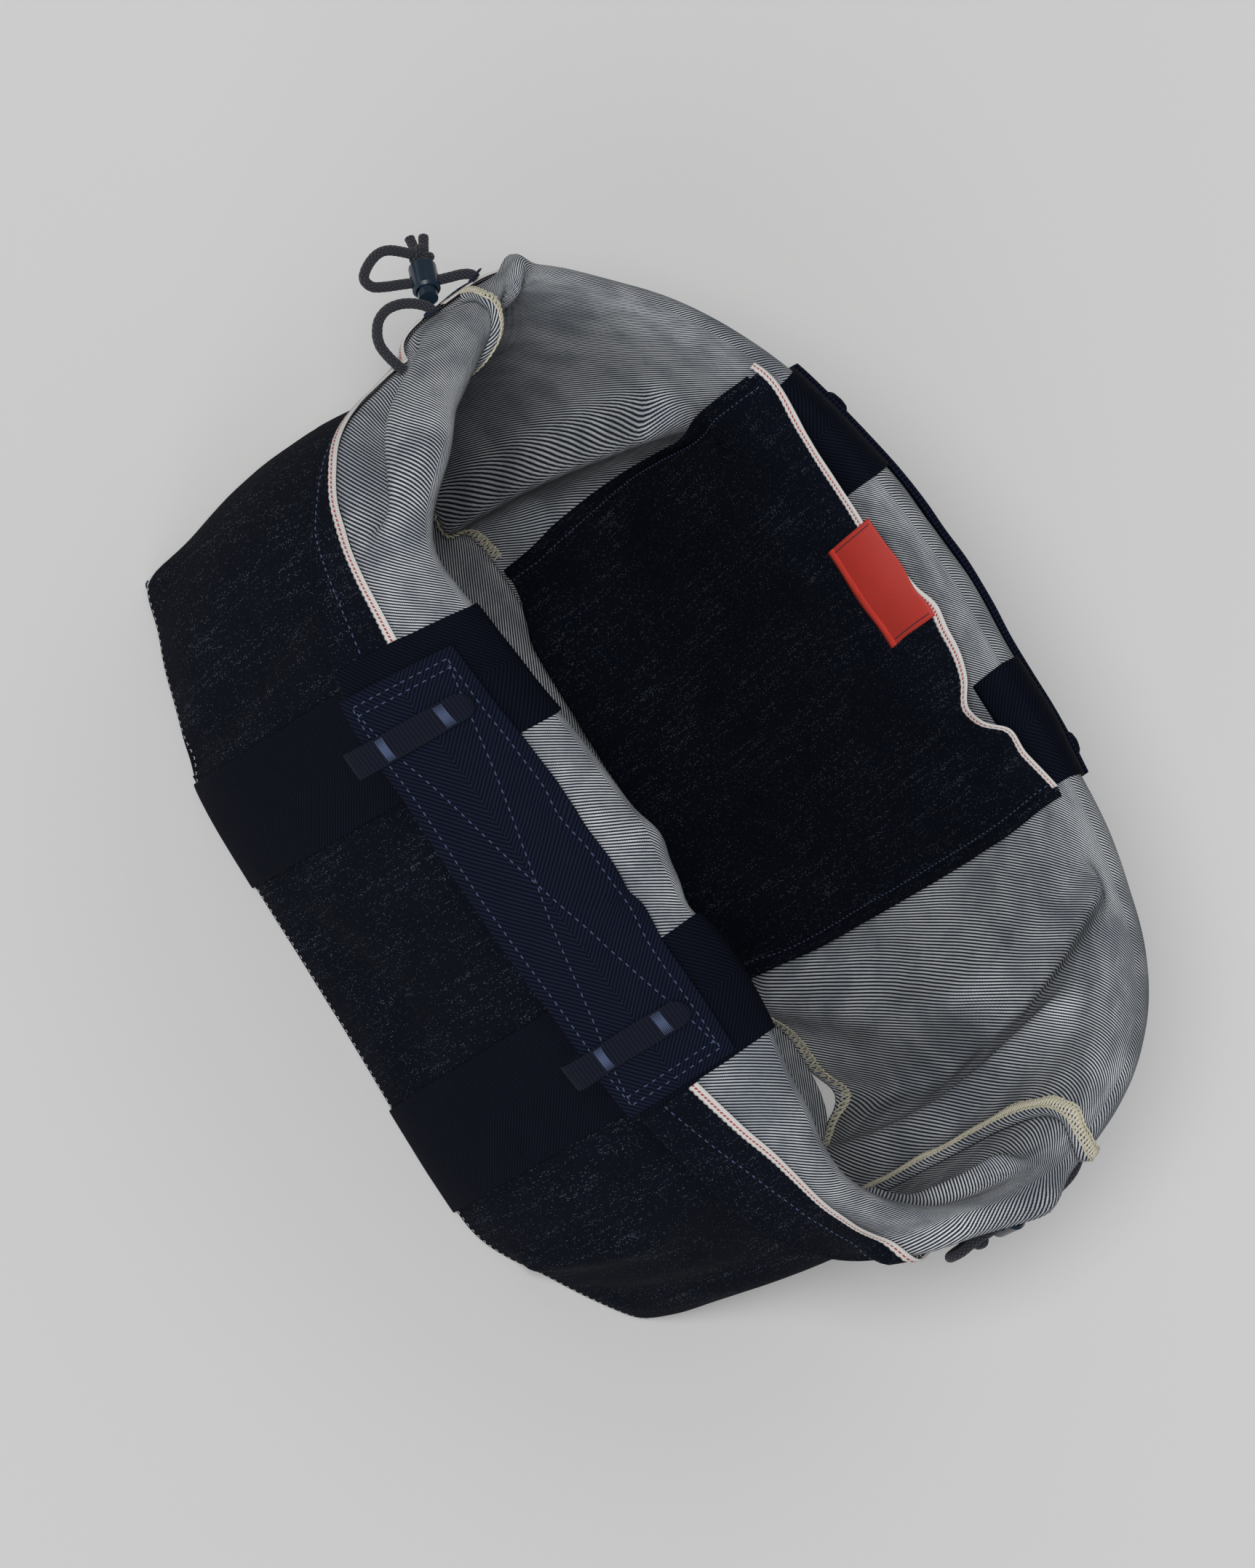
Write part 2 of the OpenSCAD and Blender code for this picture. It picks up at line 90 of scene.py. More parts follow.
def sun(name, towards, strength, angle, color):
    """A sun whose light comes from the direction towards."""
    data = bpy.data.lights.new(name, "SUN")
    data.energy, data.angle, data.color = strength, np.radians(angle), color
    z = np.array(towards, float) / np.linalg.norm(towards)
    x = np.cross([0, 0, 1], z)
    x /= np.linalg.norm(x)
    y = np.cross(z, x)
    o = bpy.data.objects.new(name, data)
    o.matrix_world = Matrix([[*row, 0] for row in np.stack([x, y, z], 1)] + [[0, 0, 0, 1]])
    bpy.context.scene.collection.objects.link(o)


look((-0.009, 0.013, 0.100), 53, 58.5, 2.4, 145.2)
sun("key", (-0.08, -0.62, 0.80), 2.35, 22, (1.0, 0.995, 0.985))
sun("low", (0.50, -1.05, 0.55), 0.50, 40, (0.97, 0.985, 1.0))
sun("fill", (-0.55, 0.25, 1.2), 0.28, 70, (1.0, 1.0, 1.0))
world = bpy.data.worlds.new("studio")
world.use_nodes = True
world.node_tree.nodes["Background"].inputs["Color"].default_value = (0.97, 0.985, 1.0, 1)
world.node_tree.nodes["Background"].inputs["Strength"].default_value = 0.12
bpy.context.scene.world = world
bpy.context.scene.view_settings.view_transform = "Standard"


# ---------------------------------------------------------------- materials
class Nodes:
    """Short names for building one material's nodes."""

    def __init__(self, name):
        self.mat = bpy.data.materials.new(name)
        self.mat.use_nodes = True
        self.tree = self.mat.node_tree
        self.shader = self.tree.nodes["Principled BSDF"]

    def node(self, kind, **facts):
        n = self.tree.nodes.new(kind)
        for key, value in facts.items():
            setattr(n, key, value)
        return n

    def put(self, socket, value):
        if isinstance(value, bpy.types.NodeSocket):
            self.tree.links.new(value, socket)
        else:
            socket.default_value = value

    def math(self, op, a, b=0.0, c=0.0):
        n = self.node("ShaderNodeMath", operation=op)
        for i, x in enumerate((a, b, c)):
            self.put(n.inputs[i], x)
        return n.outputs[0]

    def add(self, a, b):
        return self.math("ADD", a, b)

    def sub(self, a, b):
        return self.math("SUBTRACT", a, b)

    def mul(self, a, b):
        return self.math("MULTIPLY", a, b)

    def div(self, a, b):
        return self.math("DIVIDE", a, b)

    def madd(self, a, b, c):
        return self.math("MULTIPLY_ADD", a, b, c)

    def floor(self, a):
        return self.math("FLOOR", a)

    def mix(self, share, a, b):
        n = self.node("ShaderNodeMix", data_type="RGBA")
        self.put(n.inputs["Factor"], share)
        for socket, x in ((n.inputs["A"], a), (n.inputs["B"], b)):
            self.put(socket, x if isinstance(x, bpy.types.NodeSocket) else (*x, 1))
        return n.outputs["Result"]

    def uv(self):
        """The piece's own surface coordinates in millimetres."""
        n = self.node("ShaderNodeUVMap", uv_map="UVMap")
        s = self.node("ShaderNodeSeparateXYZ")
        self.put(s.inputs[0], n.outputs[0])
        return s.outputs[0], s.outputs[1]

    def point(self, x, y, z=0.0):
        n = self.node("ShaderNodeCombineXYZ")
        for i, a in enumerate((x, y, z)):
            self.put(n.inputs[i], a)
        return n.outputs[0]

    def noise(self, vector, scale, detail=2.0, rough=0.5):
        n = self.node("ShaderNodeTexNoise")
        self.put(n.inputs["Vector"], vector)
        n.inputs["Scale"].default_value = scale
        n.inputs["Detail"].default_value = detail
        n.inputs["Roughness"].default_value = rough
        return n.outputs[0]

    def cell(self, x, y):
        """A random number per whole-number cell."""
        n = self.node("ShaderNodeTexWhiteNoise", noise_dimensions="2D")
        self.put(n.inputs["Vector"], self.point(self.math("FLOOR", x), self.math("FLOOR", y)))
        return n.outputs["Value"]

    def ramp(self, value, low, high):
        n = self.node("ShaderNodeMapRange", interpolation_type="SMOOTHSTEP")
        self.put(n.inputs["Value"], value)
        n.inputs["From Min"].default_value = low
        n.inputs["From Max"].default_value = high
        return n.outputs[0]

    def wave(self, turns):
        """A smooth wave from 0 to 1, once for each whole number of turns."""
        return self.math("MULTIPLY_ADD", self.math("SINE", self.math("MULTIPLY", turns, 2 * np.pi)), 0.5, 0.5)

    def bump(self, height, depth_mm, strength=1.0):
        n = self.node("ShaderNodeBump")
        n.inputs["Distance"].default_value = depth_mm * MM
        n.inputs["Strength"].default_value = strength
        self.put(n.inputs["Height"], height)
        self.put(self.shader.inputs["Normal"], n.outputs[0])

    def finish(self, color, rough=0.85, sheen=0.0, specular=0.3):
        plain = not isinstance(color, bpy.types.NodeSocket)
        self.put(self.shader.inputs["Base Color"], (*color, 1) if plain else color)
        self.put(self.shader.inputs["Roughness"], rough)
        self.shader.inputs["Sheen Weight"].default_value = sheen
        self.shader.inputs["Sheen Roughness"].default_value = 0.6
        self.shader.inputs["Specular IOR Level"].default_value = specular
        return self.mat


def denim_face_material():
    """The indigo face: pale flecks of weft in fine upright columns, with slubby streaks."""
    n = Nodes("denim_face")
    u, v = n.uv()
    col, row = n.div(u, 0.52), n.div(v, 0.5)
    fleck = n.cell(col, n.add(row, n.mul(n.floor(col), 0.33)))
    slub = n.noise(n.point(n.div(u, 1.6), n.div(v, 26)), 1.0, 3.0, 0.6)
    worn = n.noise(n.point(n.div(u, 22), n.div(v, 30)), 1.0, 4.0, 0.6)
    chance = n.mul(n.ramp(slub, 0.42, 0.72), n.ramp(worn, 0.30, 0.66))
    lit = n.ramp(n.add(fleck, n.mul(chance, 0.42)), 0.90, 1.10)
    inside = n.mul(n.wave(n.add(col, 0.75)), n.wave(n.add(row, 0.75)))
    spot = n.mul(lit, n.ramp(inside, 0.15, 0.7))
    base = n.mix(worn, (0.0018, 0.0025, 0.0056), (0.0042, 0.0060, 0.0124))
    hue = n.mix(n.cell(row, col), (0.04, 0.06, 0.12), (0.20, 0.21, 0.22))
    twill = n.wave(n.add(n.div(u, 1.05), n.div(v, 1.5)))
    n.bump(n.madd(twill, 0.6, spot), 0.10)
    shaded = n.mix(n.mul(twill, 0.35), base, (0.002, 0.0028, 0.006))
    return n.finish(n.mix(spot, shaded, hue), 0.95, 0.0, 0.07)


def denim_back_material():
    """The inside face: white weft in beaded diagonal lines over indigo."""
    n = Nodes("denim_back")
    u, v = n.uv()
    wander = n.noise(n.point(n.div(u, 30), n.div(v, 30)), 1.0, 2.0)
    across = n.add(n.mul(u, 0.866 / 1.15), n.mul(v, 0.5 / 1.15))
    across = n.add(across, n.mul(wander, 0.8))
    along = n.sub(n.mul(v, 0.866 / 0.85), n.mul(u, 0.5 / 0.85))
    line = n.wave(across)
    bead = n.wave(n.add(along, n.mul(n.floor(across), 0.37)))
    broken = n.noise(n.point(n.mul(along, 0.35), n.floor(across)), 1.0, 2.0)
    height = n.mul(line, n.madd(bead, 0.35, 0.65))
    white = n.ramp(n.add(height, n.madd(broken, 0.25, -0.12)), 0.28, 0.62)
    cloud = n.noise(n.point(n.div(u, 14), n.div(v, 14)), 1.0, 3.0)
    broad = n.noise(n.point(n.div(u, 45), n.div(v, 60)), 1.0, 4.0, 0.6)
    worn = n.ramp(n.madd(broad, 0.6, n.mul(cloud, 0.4)), 0.36, 0.64)
    pale = n.mix(worn, (0.31, 0.335, 0.365), (0.63, 0.655, 0.68))
    n.bump(height, 0.16)
    return n.finish(n.mix(white, (0.012, 0.015, 0.026), pale), 0.92, 0.03, 0.15)


def webbing_material(name, dark, light, coarse=False):
    """Herringbone webbing: slanting ribs that turn back at the middle of the strap, painted lighter on the
    rib tops as a highlight and darker between them as shade.
    """
    n = Nodes(name)
    u, v = n.uv()
    fold = n.math("ABSOLUTE", u)
    slant = n.div(n.add(v, n.mul(fold, 0.9)), 1.75)
    rib = n.wave(slant)
    bead = n.wave(n.add(n.div(fold, 0.8), n.mul(n.floor(slant), 0.5)))
    if coarse:
        wide = n.wave(n.div(n.add(v, n.mul(fold, 1.1)), 2.2))
        rib = n.add(n.mul(rib, n.math("GREATER_THAN", u, 0.0)),
                     n.mul(wide, n.math("LESS_THAN", u, 0.0)))
    height = n.mul(rib, n.madd(bead, 0.45, 0.55))
    cloud = n.noise(n.point(n.div(u, 9), n.div(v, 9)), 1.0, 3.0)
    n.bump(height, 0.28)
    # Painted highlight and shade: the colour runs from dark between the ribs to light on the rib tops, with a
    # little random tone.
    rib_tone_and_painted_highlight = n.mix(n.mul(height, n.madd(cloud, 0.5, 0.6)), dark, light)
    return n.finish(rib_tone_and_painted_highlight, n.madd(height, -0.12, 0.86), 0.0, 0.07)


def rib_material(name, dark, light, pitch):
    """Grosgrain: ribs straight across the tape, each of small round picks."""
    n = Nodes(name)
    u, v = n.uv()
    rib = n.wave(n.div(v, pitch))
    pick = n.wave(n.div(u, 0.55))
    height = n.mul(rib, n.madd(pick, 0.3, 0.7))
    n.bump(height, 0.3)
    return n.finish(n.mix(height, dark, light), 0.8, 0.0, 0.15)


def thread_material(name, dark, light, pitch=0.5):
    """Twisted sewing thread; v runs along the stitch."""
    n = Nodes(name)
    u, v = n.uv()
    ply = n.wave(n.add(n.div(v, pitch), u))
    n.bump(ply, 0.06)
    return n.finish(n.mix(ply, dark, light), 0.75, 0.0, 0.3)


def satin_material(name, dark, light, depth=0.08):
    """A dense satin weave of fine threads along u."""
    n = Nodes(name)
    u, v = n.uv()
    line = n.wave(n.div(v, 0.5))
    pick = n.wave(n.add(n.div(u, 0.9), n.mul(n.floor(n.div(v, 0.5)), 0.3)))
    height = n.madd(pick, 0.3, n.mul(line, 0.7))
    n.bump(height, depth)
    return n.finish(n.mix(height, dark, light), 0.55, 0.05, 0.4)


def selvedge_material():
    """White self-edge with a dashed red line; v runs across it from the smooth edge, 4.2 mm."""
    n = Nodes("selvedge")
    u, v = n.uv()
    red = n.mul(n.ramp(v, 1.35, 1.65), n.sub(1.0, n.ramp(v, 2.25, 2.55)))
    dash = n.ramp(n.wave(n.add(n.div(u, 1.55), n.mul(v, 0.25))), 0.12, 0.45)
    pick = n.wave(n.div(u, 0.78))
    rows = n.wave(n.div(v, 0.7))
    height = n.madd(pick, 0.5, n.mul(rows, 0.5))
    white = n.mix(height, (0.47, 0.45, 0.44), (0.72, 0.70, 0.68))
    n.bump(height, 0.15)
    return n.finish(n.mix(n.mul(red, dash), white, (0.36, 0.045, 0.04)), 0.85, 0.0, 0.2)


def braid_material():
    """Round braid: two sets of strands that cross, in a charcoal navy."""
    n = Nodes("cord_braid")
    u, v = n.uv()
    one = n.wave(n.add(n.div(u, 1.57), n.div(v, 2.0)))
    two = n.wave(n.sub(n.div(u, 1.57), n.div(v, 2.0)))
    height = n.mul(one, two)
    fine = n.wave(n.add(n.div(u, 0.39), n.div(v, 0.5)))
    n.bump(n.madd(fine, 0.15, height), 0.25)
    return n.finish(n.mix(height, (0.012, 0.013, 0.019), (0.050, 0.052, 0.066)), 0.85, 0.1, 0.2)


def plastic_material():
    """Moulded translucent plastic with a fine sparked texture."""
    n = Nodes("lock_plastic")
    coord = n.node("ShaderNodeTexCoord").outputs["Object"]
    grain = n.noise(coord, 2500, 2.0)
    cloud = n.noise(coord, 130, 2.0)
    n.bump(grain, 0.03)
    n.shader.inputs["Transmission Weight"].default_value = 0.25
    n.shader.inputs["IOR"].default_value = 1.49
    n.shader.inputs["Coat Weight"].default_value = 0.25
    tint = n.mix(cloud, (0.004, 0.014, 0.030), (0.012, 0.034, 0.064))
    return n.finish(tint, n.madd(grain, 0.15, 0.26), 0.0, 0.5)


def steel_material():
    """Drawn spring wire with fine lines along it."""
    n = Nodes("spring_wire")
    coord = n.node("ShaderNodeTexCoord").outputs["Object"]
    line = n.noise(coord, 3000, 3.0)
    n.bump(line, 0.01)
    n.shader.inputs["Metallic"].default_value = 1.0
    return n.finish(n.mix(line, (0.45, 0.46, 0.47), (0.70, 0.71, 0.72)), n.madd(line, 0.2, 0.25), 0.0, 0.5)


def floor_material():
    """A plain paper sweep, with a very faint tooth."""
    n = Nodes("paper")
    coord = n.node("ShaderNodeTexCoord").outputs["Object"]
    tooth = n.noise(coord, 400, 2.0)
    n.bump(tooth, 0.02)
    return n.finish(n.mix(tooth, (0.710, 0.710, 0.712), (0.720, 0.720, 0.722)), 1.0, 0.0, 0.0)


DENIM_FACE = denim_face_material()
DENIM_BACK = denim_back_material()
# In each webbing the first colour is painted shade between the ribs and the second a painted highlight on the
# rib tops.
WEBBING = webbing_material("wide_webbing", (0.0010, 0.0015, 0.0042), (0.0056, 0.0080, 0.0190))
HANDLE_WEBBING = webbing_material("handle_webbing", (0.0013, 0.0021, 0.0060), (0.0110, 0.0160, 0.0390),
                                  coarse=True)
GROSGRAIN = rib_material("grosgrain", (0.0018, 0.0026, 0.0075), (0.0065, 0.0095, 0.0225), 1.6)
BLUE_THREAD = thread_material("blue_thread", (0.034, 0.048, 0.100), (0.090, 0.123, 0.225))
DARK_THREAD = thread_material("dark_thread", (0.006, 0.009, 0.022), (0.020, 0.028, 0.060))
CREAM_THREAD = thread_material("cream_thread", (0.42, 0.39, 0.29), (0.70, 0.66, 0.53))
PALE_THREAD = thread_material("pale_thread", (0.25, 0.25, 0.26), (0.50, 0.50, 0.50))
LABEL_RED = satin_material("label_red", (0.33, 0.016, 0.010), (0.52, 0.030, 0.016))
LABEL_EDGE = satin_material("label_edge", (0.48, 0.020, 0.011), (0.74, 0.044, 0.020), 0.2)
LABEL_DARK = satin_material("label_dark", (0.035, 0.012, 0.014), (0.07, 0.020, 0.022))
SELVEDGE = selvedge_material()
BRAID = braid_material()
PLASTIC = plastic_material()
STEEL = steel_material()


# ---------------------------------------------------------------- the bag's surface
low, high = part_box("base_panel")
SKIN, GAP = 0.8, 0.3
CORNER_R = 68.0
HALF_X = high[0] / MM + SKIN + GAP
HALF_Y = high[1] / MM + SKIN + GAP

# The crest of the rim and its outer fold, one point per station, as in the part.
CREST = np.array([
    (0, -78, 212), (40, -77, 212), (80, -73, 209), (120, -70, 198), (158, -58, 180), (187, -20, 176),
    (193, 34, 192), (173, 70, 203), (142, 90, 211), (103, 98, 217), (62, 100, 221), (22, 100, 221),
    (-16, 101, 221), (-55, 98, 219), (-94, 92, 215), (-132, 79, 205), (-165, 60, 194), (-190, 30, 185),
    (-180, 4, 188), (-165, -26, 195), (-150, -62, 200), (-118, -88, 205), (-80, -87, 209),
    (-40, -82, 211)], float)
FOLD = np.array([
    (0, -122, 172), (41, -119, 172), (82, -115, 172), (124, -99, 163), (164, -72, 150), (189, -28, 138),
    (197, 36, 140), (184, 80, 150), (152, 108, 156), (110, 122, 158), (67, 128, 158), (24, 130, 158),
    (-17, 130, 158), (-58, 128, 158), (-99, 120, 158), (-139, 104, 158), (-170, 80, 154), (-197, 46, 150),
    (-198, 8, 148), (-190, -28, 150), (-170, -70, 156), (-126, -110, 164), (-84, -126, 171),
    (-42, -124, 172)], float)
WALL_OUT, WALL_UP, CREST_ROLL, FOLD_OUT, FOLD_DOWN = 70, 190, 75, 0.55, 0.83


def unit(a):
    return a / np.linalg.norm(a, axis=-1, keepdims=True)


def spline(a, b, c, d, t):
    """The smooth curve from b to c, with a before it and d after it."""
    return 0.5 * (2 * b + (c - a) * t + (2 * a - 5 * b + 4 * c - d) * t**2 + (3 * b - a - 3 * c + d) * t**3)


def distances(path):
    """How far along a path each of its points is."""
    return np.concatenate([[0], np.cumsum(np.linalg.norm(np.diff(path, axis=0), axis=1))])


def at_distance(path, far, at):
    """The points of a path at the distances at."""
    return np.stack([np.interp(at, far, path[:, j]) for j in range(3)], -1)


def on_ring(ring, k):
    """A closed smooth line through a ring's points."""
    k = k % STATIONS
    i = np.floor(k).astype(int)
    t = (k - i)[..., None]
    a, b, c, d = [ring[(i + j) % STATIONS] for j in (-1, 0, 1, 2)]
    return spline(a, b, c, d, t)


def base_outline(k):
    """Point and outward direction on the rounded base, by length from the middle of the front."""
    sx, sy, q = HALF_X - CORNER_R, HALF_Y - CORNER_R, np.pi / 2 * CORNER_R
    runs = [((0, -HALF_Y), (1, 0), sx), ((sx, -sy), -90, q), ((HALF_X, -sy), (0, 1), 2 * sy),
            ((sx, sy), 0, q), ((sx, HALF_Y), (-1, 0), 2 * sx), ((-sx, sy), 90, q),
            ((-HALF_X, sy), (0, -1), 2 * sy),
            ((-sx, -sy), 180, q), ((-sx, -HALF_Y), (1, 0), sx)]
    d = (k % STATIONS) / STATIONS * sum(r[2] for r in runs)
    at, out = np.zeros(d.shape + (3,)), np.zeros(d.shape + (3,))
    for (x, y), way, length in runs:
        here = (d >= -1e-9) & (d <= length + 1e-9)
        t = d[here]
        if isinstance(way, tuple):
            at[here] = np.stack([x + way[0] * t, y + way[1] * t, 0 * t], -1)
            out[here] = (way[1], -way[0], 0)
        else:
            a = np.radians(way) + t / CORNER_R
            at[here] = np.stack([x + CORNER_R * np.cos(a), y + CORNER_R * np.sin(a), 0 * t], -1)
            out[here] = np.stack([np.cos(a), np.sin(a), 0 * t], -1)
        d = d - length
    return at, out


def hermite(a, b, ma, mb, t):
    return (2*t**3 - 3*t**2 + 1) * a + (t**3 - 2*t**2 + t) * ma + (3*t**2 - 2*t**3) * b + (t**3 - t**2) * mb


def cloth(k, v):
    """The part's wall cloth."""
    foot, out = base_outline(k)
    crest, fold = on_ring(CREST, k), on_ring(FOLD, k)
    way = fold - crest
    reach = np.linalg.norm(way, axis=-1, keepdims=True)
    way = unit(way * (1, 1, 0))
    up = np.array([0, 0, 1.0])
    slope = (way * FOLD_OUT - up * FOLD_DOWN) * reach
    t = v[..., None]
    wall = hermite(foot, crest, out * WALL_OUT + up * WALL_UP, way * CREST_ROLL, np.clip(t, 0, 1))
    collar = hermite(crest, fold, way * reach, slope, np.clip(t - 1, 0, 1)) + np.maximum(t - 2, 0) * slope
    return np.where(t <= 1, wall, collar)


def flat_v(v):
    """Millimetres up the cloth from the base."""
    return WALL_MM * np.minimum(v, 1) + COLLAR_MM * np.maximum(v - 1, 0)


# Places where the soft cloth leaves the part's even shape: station, row, shift in mm, and how far
# the shift spreads in stations and rows.
SHIFTS = [
    (20.0, 1.0, (0, 11, 2), 0.6, 0.25),
    (19.0, 2.05, (9, 5, -3), 1.0, 0.14),
    (18.9, 0.45, (-12, 0, 0), 1.3, 0.38),
    (19.5, 0.0, (-8, -4, 0), 0.28, 0.12),
    (20.7, 0.05, (5, 6, 0), 0.7, 0.3),
    (8.2, 0.0, (5, 9, 0), 0.7, 0.12),
    (3.8, 0.05, (-6, 7, 0), 0.8, 0.3),
    (4.95, 0.0, (4, -1, 0), 0.3, 0.12),
    (6.1, 1.05, (2, -3, -11), 0.5, 0.35),
    (13.8, 1.3, (0, 0, -3), 0.9, 0.5),
]
# Creases: how far they stand out (in, if negative), how wide they are, and the line they follow.
CREASES = [
    (13, 7, [(18.68, 1.81), (19.43, 1.71), (20.08, 1.57), (20.5, 1.47)]),
    (-16, 8, [(14.95, 0.62), (15.25, 0.39), (15.5, 0.18), (15.65, 0.05)]),
    (5, 10, [(14.4, 0.66), (14.75, 0.42), (15.0, 0.18)]),
    (-5, 6, [(17.1, 1.38), (17.1, 0.86), (16.6, 0.57)]),
    (-12, 12, [(9.55, 0.05), (8.75, 0.28), (8.45, 0.44)]),
    (10, 8, [(8.45, 0.02), (8.1, 0.31), (8.22, 0.53), (8.68, 0.88)]),
    (-9, 8, [(7.6, 0.1), (7.45, 0.4), (7.7, 0.7)]),
    (-8, 8, [(4.75, 1.6), (5.2, 1.25), (5.7, 1.25)]),
    (-8, 8, [(4.5, 0.75), (5.1, 0.7), (5.6, 0.8)]),
    (-4, 9, [(21.2, 0.05), (21.0, 0.3), (20.6, 0.5)]),
    (-4, 10, [(23.4, 0.12), (24.3, 0.2), (25.0, 0.17)]),
    (5, 8, [(3.4, 0.1), (3.6, 0.35), (3.3, 0.6)]),
    (-4, 10, [(4.3, 0.1), (4.5, 0.4), (4.1, 0.65)]),
    (-3, 8, [(23.7, 1.25), (24.2, 1.0), (24.5, 0.8)]),
    (2.5, 8, [(24.6, 1.3), (24.9, 1.05), (25.1, 0.8)]),
]


def nearest(u, w, line):
    """Distance in mm from points of the flat cloth to a line of stations and rows."""
    pts = np.array([(STATION_MM * k, flat_v(np.array(v))) for k, v in line])
    mid = pts[:, 0].mean()
    round_it = STATION_MM * STATIONS
    u = (u - mid + round_it / 2) % round_it - round_it / 2 + mid
    best = np.full(u.shape, np.inf)
    for a, b in zip(pts[:-1], pts[1:]):
        d = b - a
        t = np.clip(((u - a[0]) * d[0] + (w - a[1]) * d[1]) / (d @ d), 0, 1)
        best = np.minimum(best, np.hypot(u - a[0] - t * d[0], w - a[1] - t * d[1]))
    return best


def lattice(u, w, size, seed):
    """Smooth noise from -1 to 1 over the flat cloth, with features size mm long."""
    across = max(4, round(STATION_MM * STATIONS / size))
    grid = np.random.default_rng(seed).uniform(-1, 1, (across, 64))
    x, y = u / (STATION_MM * STATIONS) * across, w / size
    i, j = np.floor(x).astype(int), np.floor(y).astype(int)
    s, t = x - i, y - j
    s, t = s * s * (3 - 2 * s), t * t * (3 - 2 * t)
    at = lambda a, b: grid[(i + a) % across, (j + b) % 64]
    return (at(0, 0) * (1 - s) + at(1, 0) * s) * (1 - t) + (at(0, 1) * (1 - s) + at(1, 1) * s) * t


def normals_of(p):
    return unit(np.cross(np.gradient(p, axis=0), np.gradient(p, axis=1)))


def soft_surface():
    """The cloth with its shifts, creases and slight waviness, sampled on a fine grid."""
    k = np.arange(STATIONS * FINE_K + 2 * PAD) / FINE_K - PAD / FINE_K
    v = np.arange(int(V_TOP * FINE_V) + 1) / FINE_V
    k, v = np.meshgrid(k, v, indexing="ij")
    p = cloth(k, v)
    for k0, v0, shift, sk, sv in SHIFTS:
        dk = (k - k0 + STATIONS / 2) % STATIONS - STATIONS / 2
        p = p + np.exp(-(dk / sk) ** 2 - ((v - v0) / sv) ** 2)[..., None] * shift
    u, w = STATION_MM * k, flat_v(v)
    height = 1.1 * lattice(u, w, 62, 3) + 0.55 * lattice(u, w, 27, 4) + 0.18 * lattice(u, w, 12, 5)
    height *= 0.35 + 0.65 * np.clip(v / 0.1, 0, 1)
    for depth, width, line in CREASES:
        height += depth * np.exp(-(nearest(u, w, line) / width) ** 2)
    p = p + height[..., None] * normals_of(p)
    p[..., 2] = np.maximum(p[..., 2], 0.55)
    return p, normals_of(p)


FINE_K, FINE_V, PAD, V_TOP = 40, 100, 4, 2.4
SURFACE, NORMALS = soft_surface()


def sample(table, k, v):
    """Bilinear sample of a surface table at stations k and rows v."""
    x, y = (k % STATIONS) * FINE_K + PAD, np.clip(v, 0, V_TOP - 0.011) * FINE_V
    i, j = np.floor(x).astype(int), np.floor(y).astype(int)
    s, t = (x - i)[..., None], (y - j)[..., None]
    return ((table[i, j] * (1 - s) + table[i + 1, j] * s) * (1 - t)
            + (table[i, j + 1] * (1 - s) + table[i + 1, j + 1] * s) * t)


def place(k, v, o):
    """Points at offset o mm from the soft cloth."""
    k, v, o = np.broadcast_arrays(np.asarray(k, float), np.asarray(v, float), np.asarray(o, float))
    return sample(SURFACE, k, v) + o[..., None] * unit(sample(NORMALS, k, v))


def smooth(x, low, high):
    t = np.clip((x - low) / (high - low), 0, 1)
    return t * t * (3 - 2 * t)


def through(points, x):
    """A smooth curve y(x) through given (x, y) points."""
    px, py = np.array(points, float).T
    slope = np.gradient(py, px)
    i = np.clip(np.searchsorted(px, x) - 1, 0, len(px) - 2)
    h = px[i + 1] - px[i]
    t = np.clip((x - px[i]) / h, 0, 1)
    return hermite(py[i], py[i + 1], slope[i] * h, slope[i + 1] * h, t)


# ---------------------------------------------------------------- making meshes
FRONT_BEND = ("bag", "front_rim_body", (0, -0.078, 0.187), (0, -0.0883, 0.1932))
BACK_BEND = ("bag", "back_rim_body", (0, 0.100, 0.190), (0, 0.110, 0.190))


def make(name, points, faces, uvs, materials, slot, body=None, bend=None, marks=None):
    """A mesh object from points in mm, with a UV per corner in mm, riding with the part's body, or left
    unparented where bend is given.
    """
    mesh = bpy.data.meshes.new(name)
    mesh.from_pydata((np.asarray(points) * MM).tolist(), [], [list(f) for f in faces])
    for m in materials:
        mesh.materials.append(m)
    layer = mesh.uv_layers.new(name="UVMap")
    layer.data.foreach_set("uv", np.asarray(uvs, np.float32).ravel())
    if marks is not None:
        mesh.polygons.foreach_set("material_index", np.asarray(marks, np.int32))
    mesh.polygons.foreach_set("use_smooth", np.ones(len(mesh.polygons), bool))
    mesh.update()
    o = bpy.data.objects.new(name, mesh)
    bpy.context.scene.collection.objects.link(o)
    if bend:
        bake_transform(o)
    else:
        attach(o, body)
    return o


def slab(name, p, thick, materials, slot, uv=None, **riding):
    """A closed sheet of cloth round the grid of points p, thick mm through, with eased edges.

    The materials are for the outward side, the inward side and the cut edge."""
    n, m = p.shape[:2]
    normal = normals_of(p)
    t = np.full((n, m), float(thick) / 2)
    t[[0, -1], :] *= 0.55
    t[:, [0, -1]] *= 0.55
    if uv is None:
        uv = lengths(p)
    top, bottom = p + normal * t[..., None], p - normal * t[..., None]
    index = np.arange(n * m).reshape(n, m)
    a, b, c, d = index[:-1, :-1], index[1:, :-1], index[1:, 1:], index[:-1, 1:]
    face = np.stack([a, b, c, d], -1).reshape(-1, 4)
    loop = np.concatenate([index[:-1, 0], index[-1, :-1], index[:0:-1, -1], index[0, :0:-1]])
    after = np.roll(loop, -1)
    side = np.stack([loop, loop + n * m, after + n * m, after], -1)
    faces = np.concatenate([face, face[:, ::-1] + n * m, side])
    flat = np.concatenate([uv.reshape(-1, 2)] * 2)
    marks = np.repeat([0, 1, 2], [len(face), len(face), len(side)])
    return make(name, np.concatenate([top.reshape(-1, 3), bottom.reshape(-1, 3)]), faces.tolist(),
                flat[faces.ravel()], materials, slot, marks=marks, **riding)


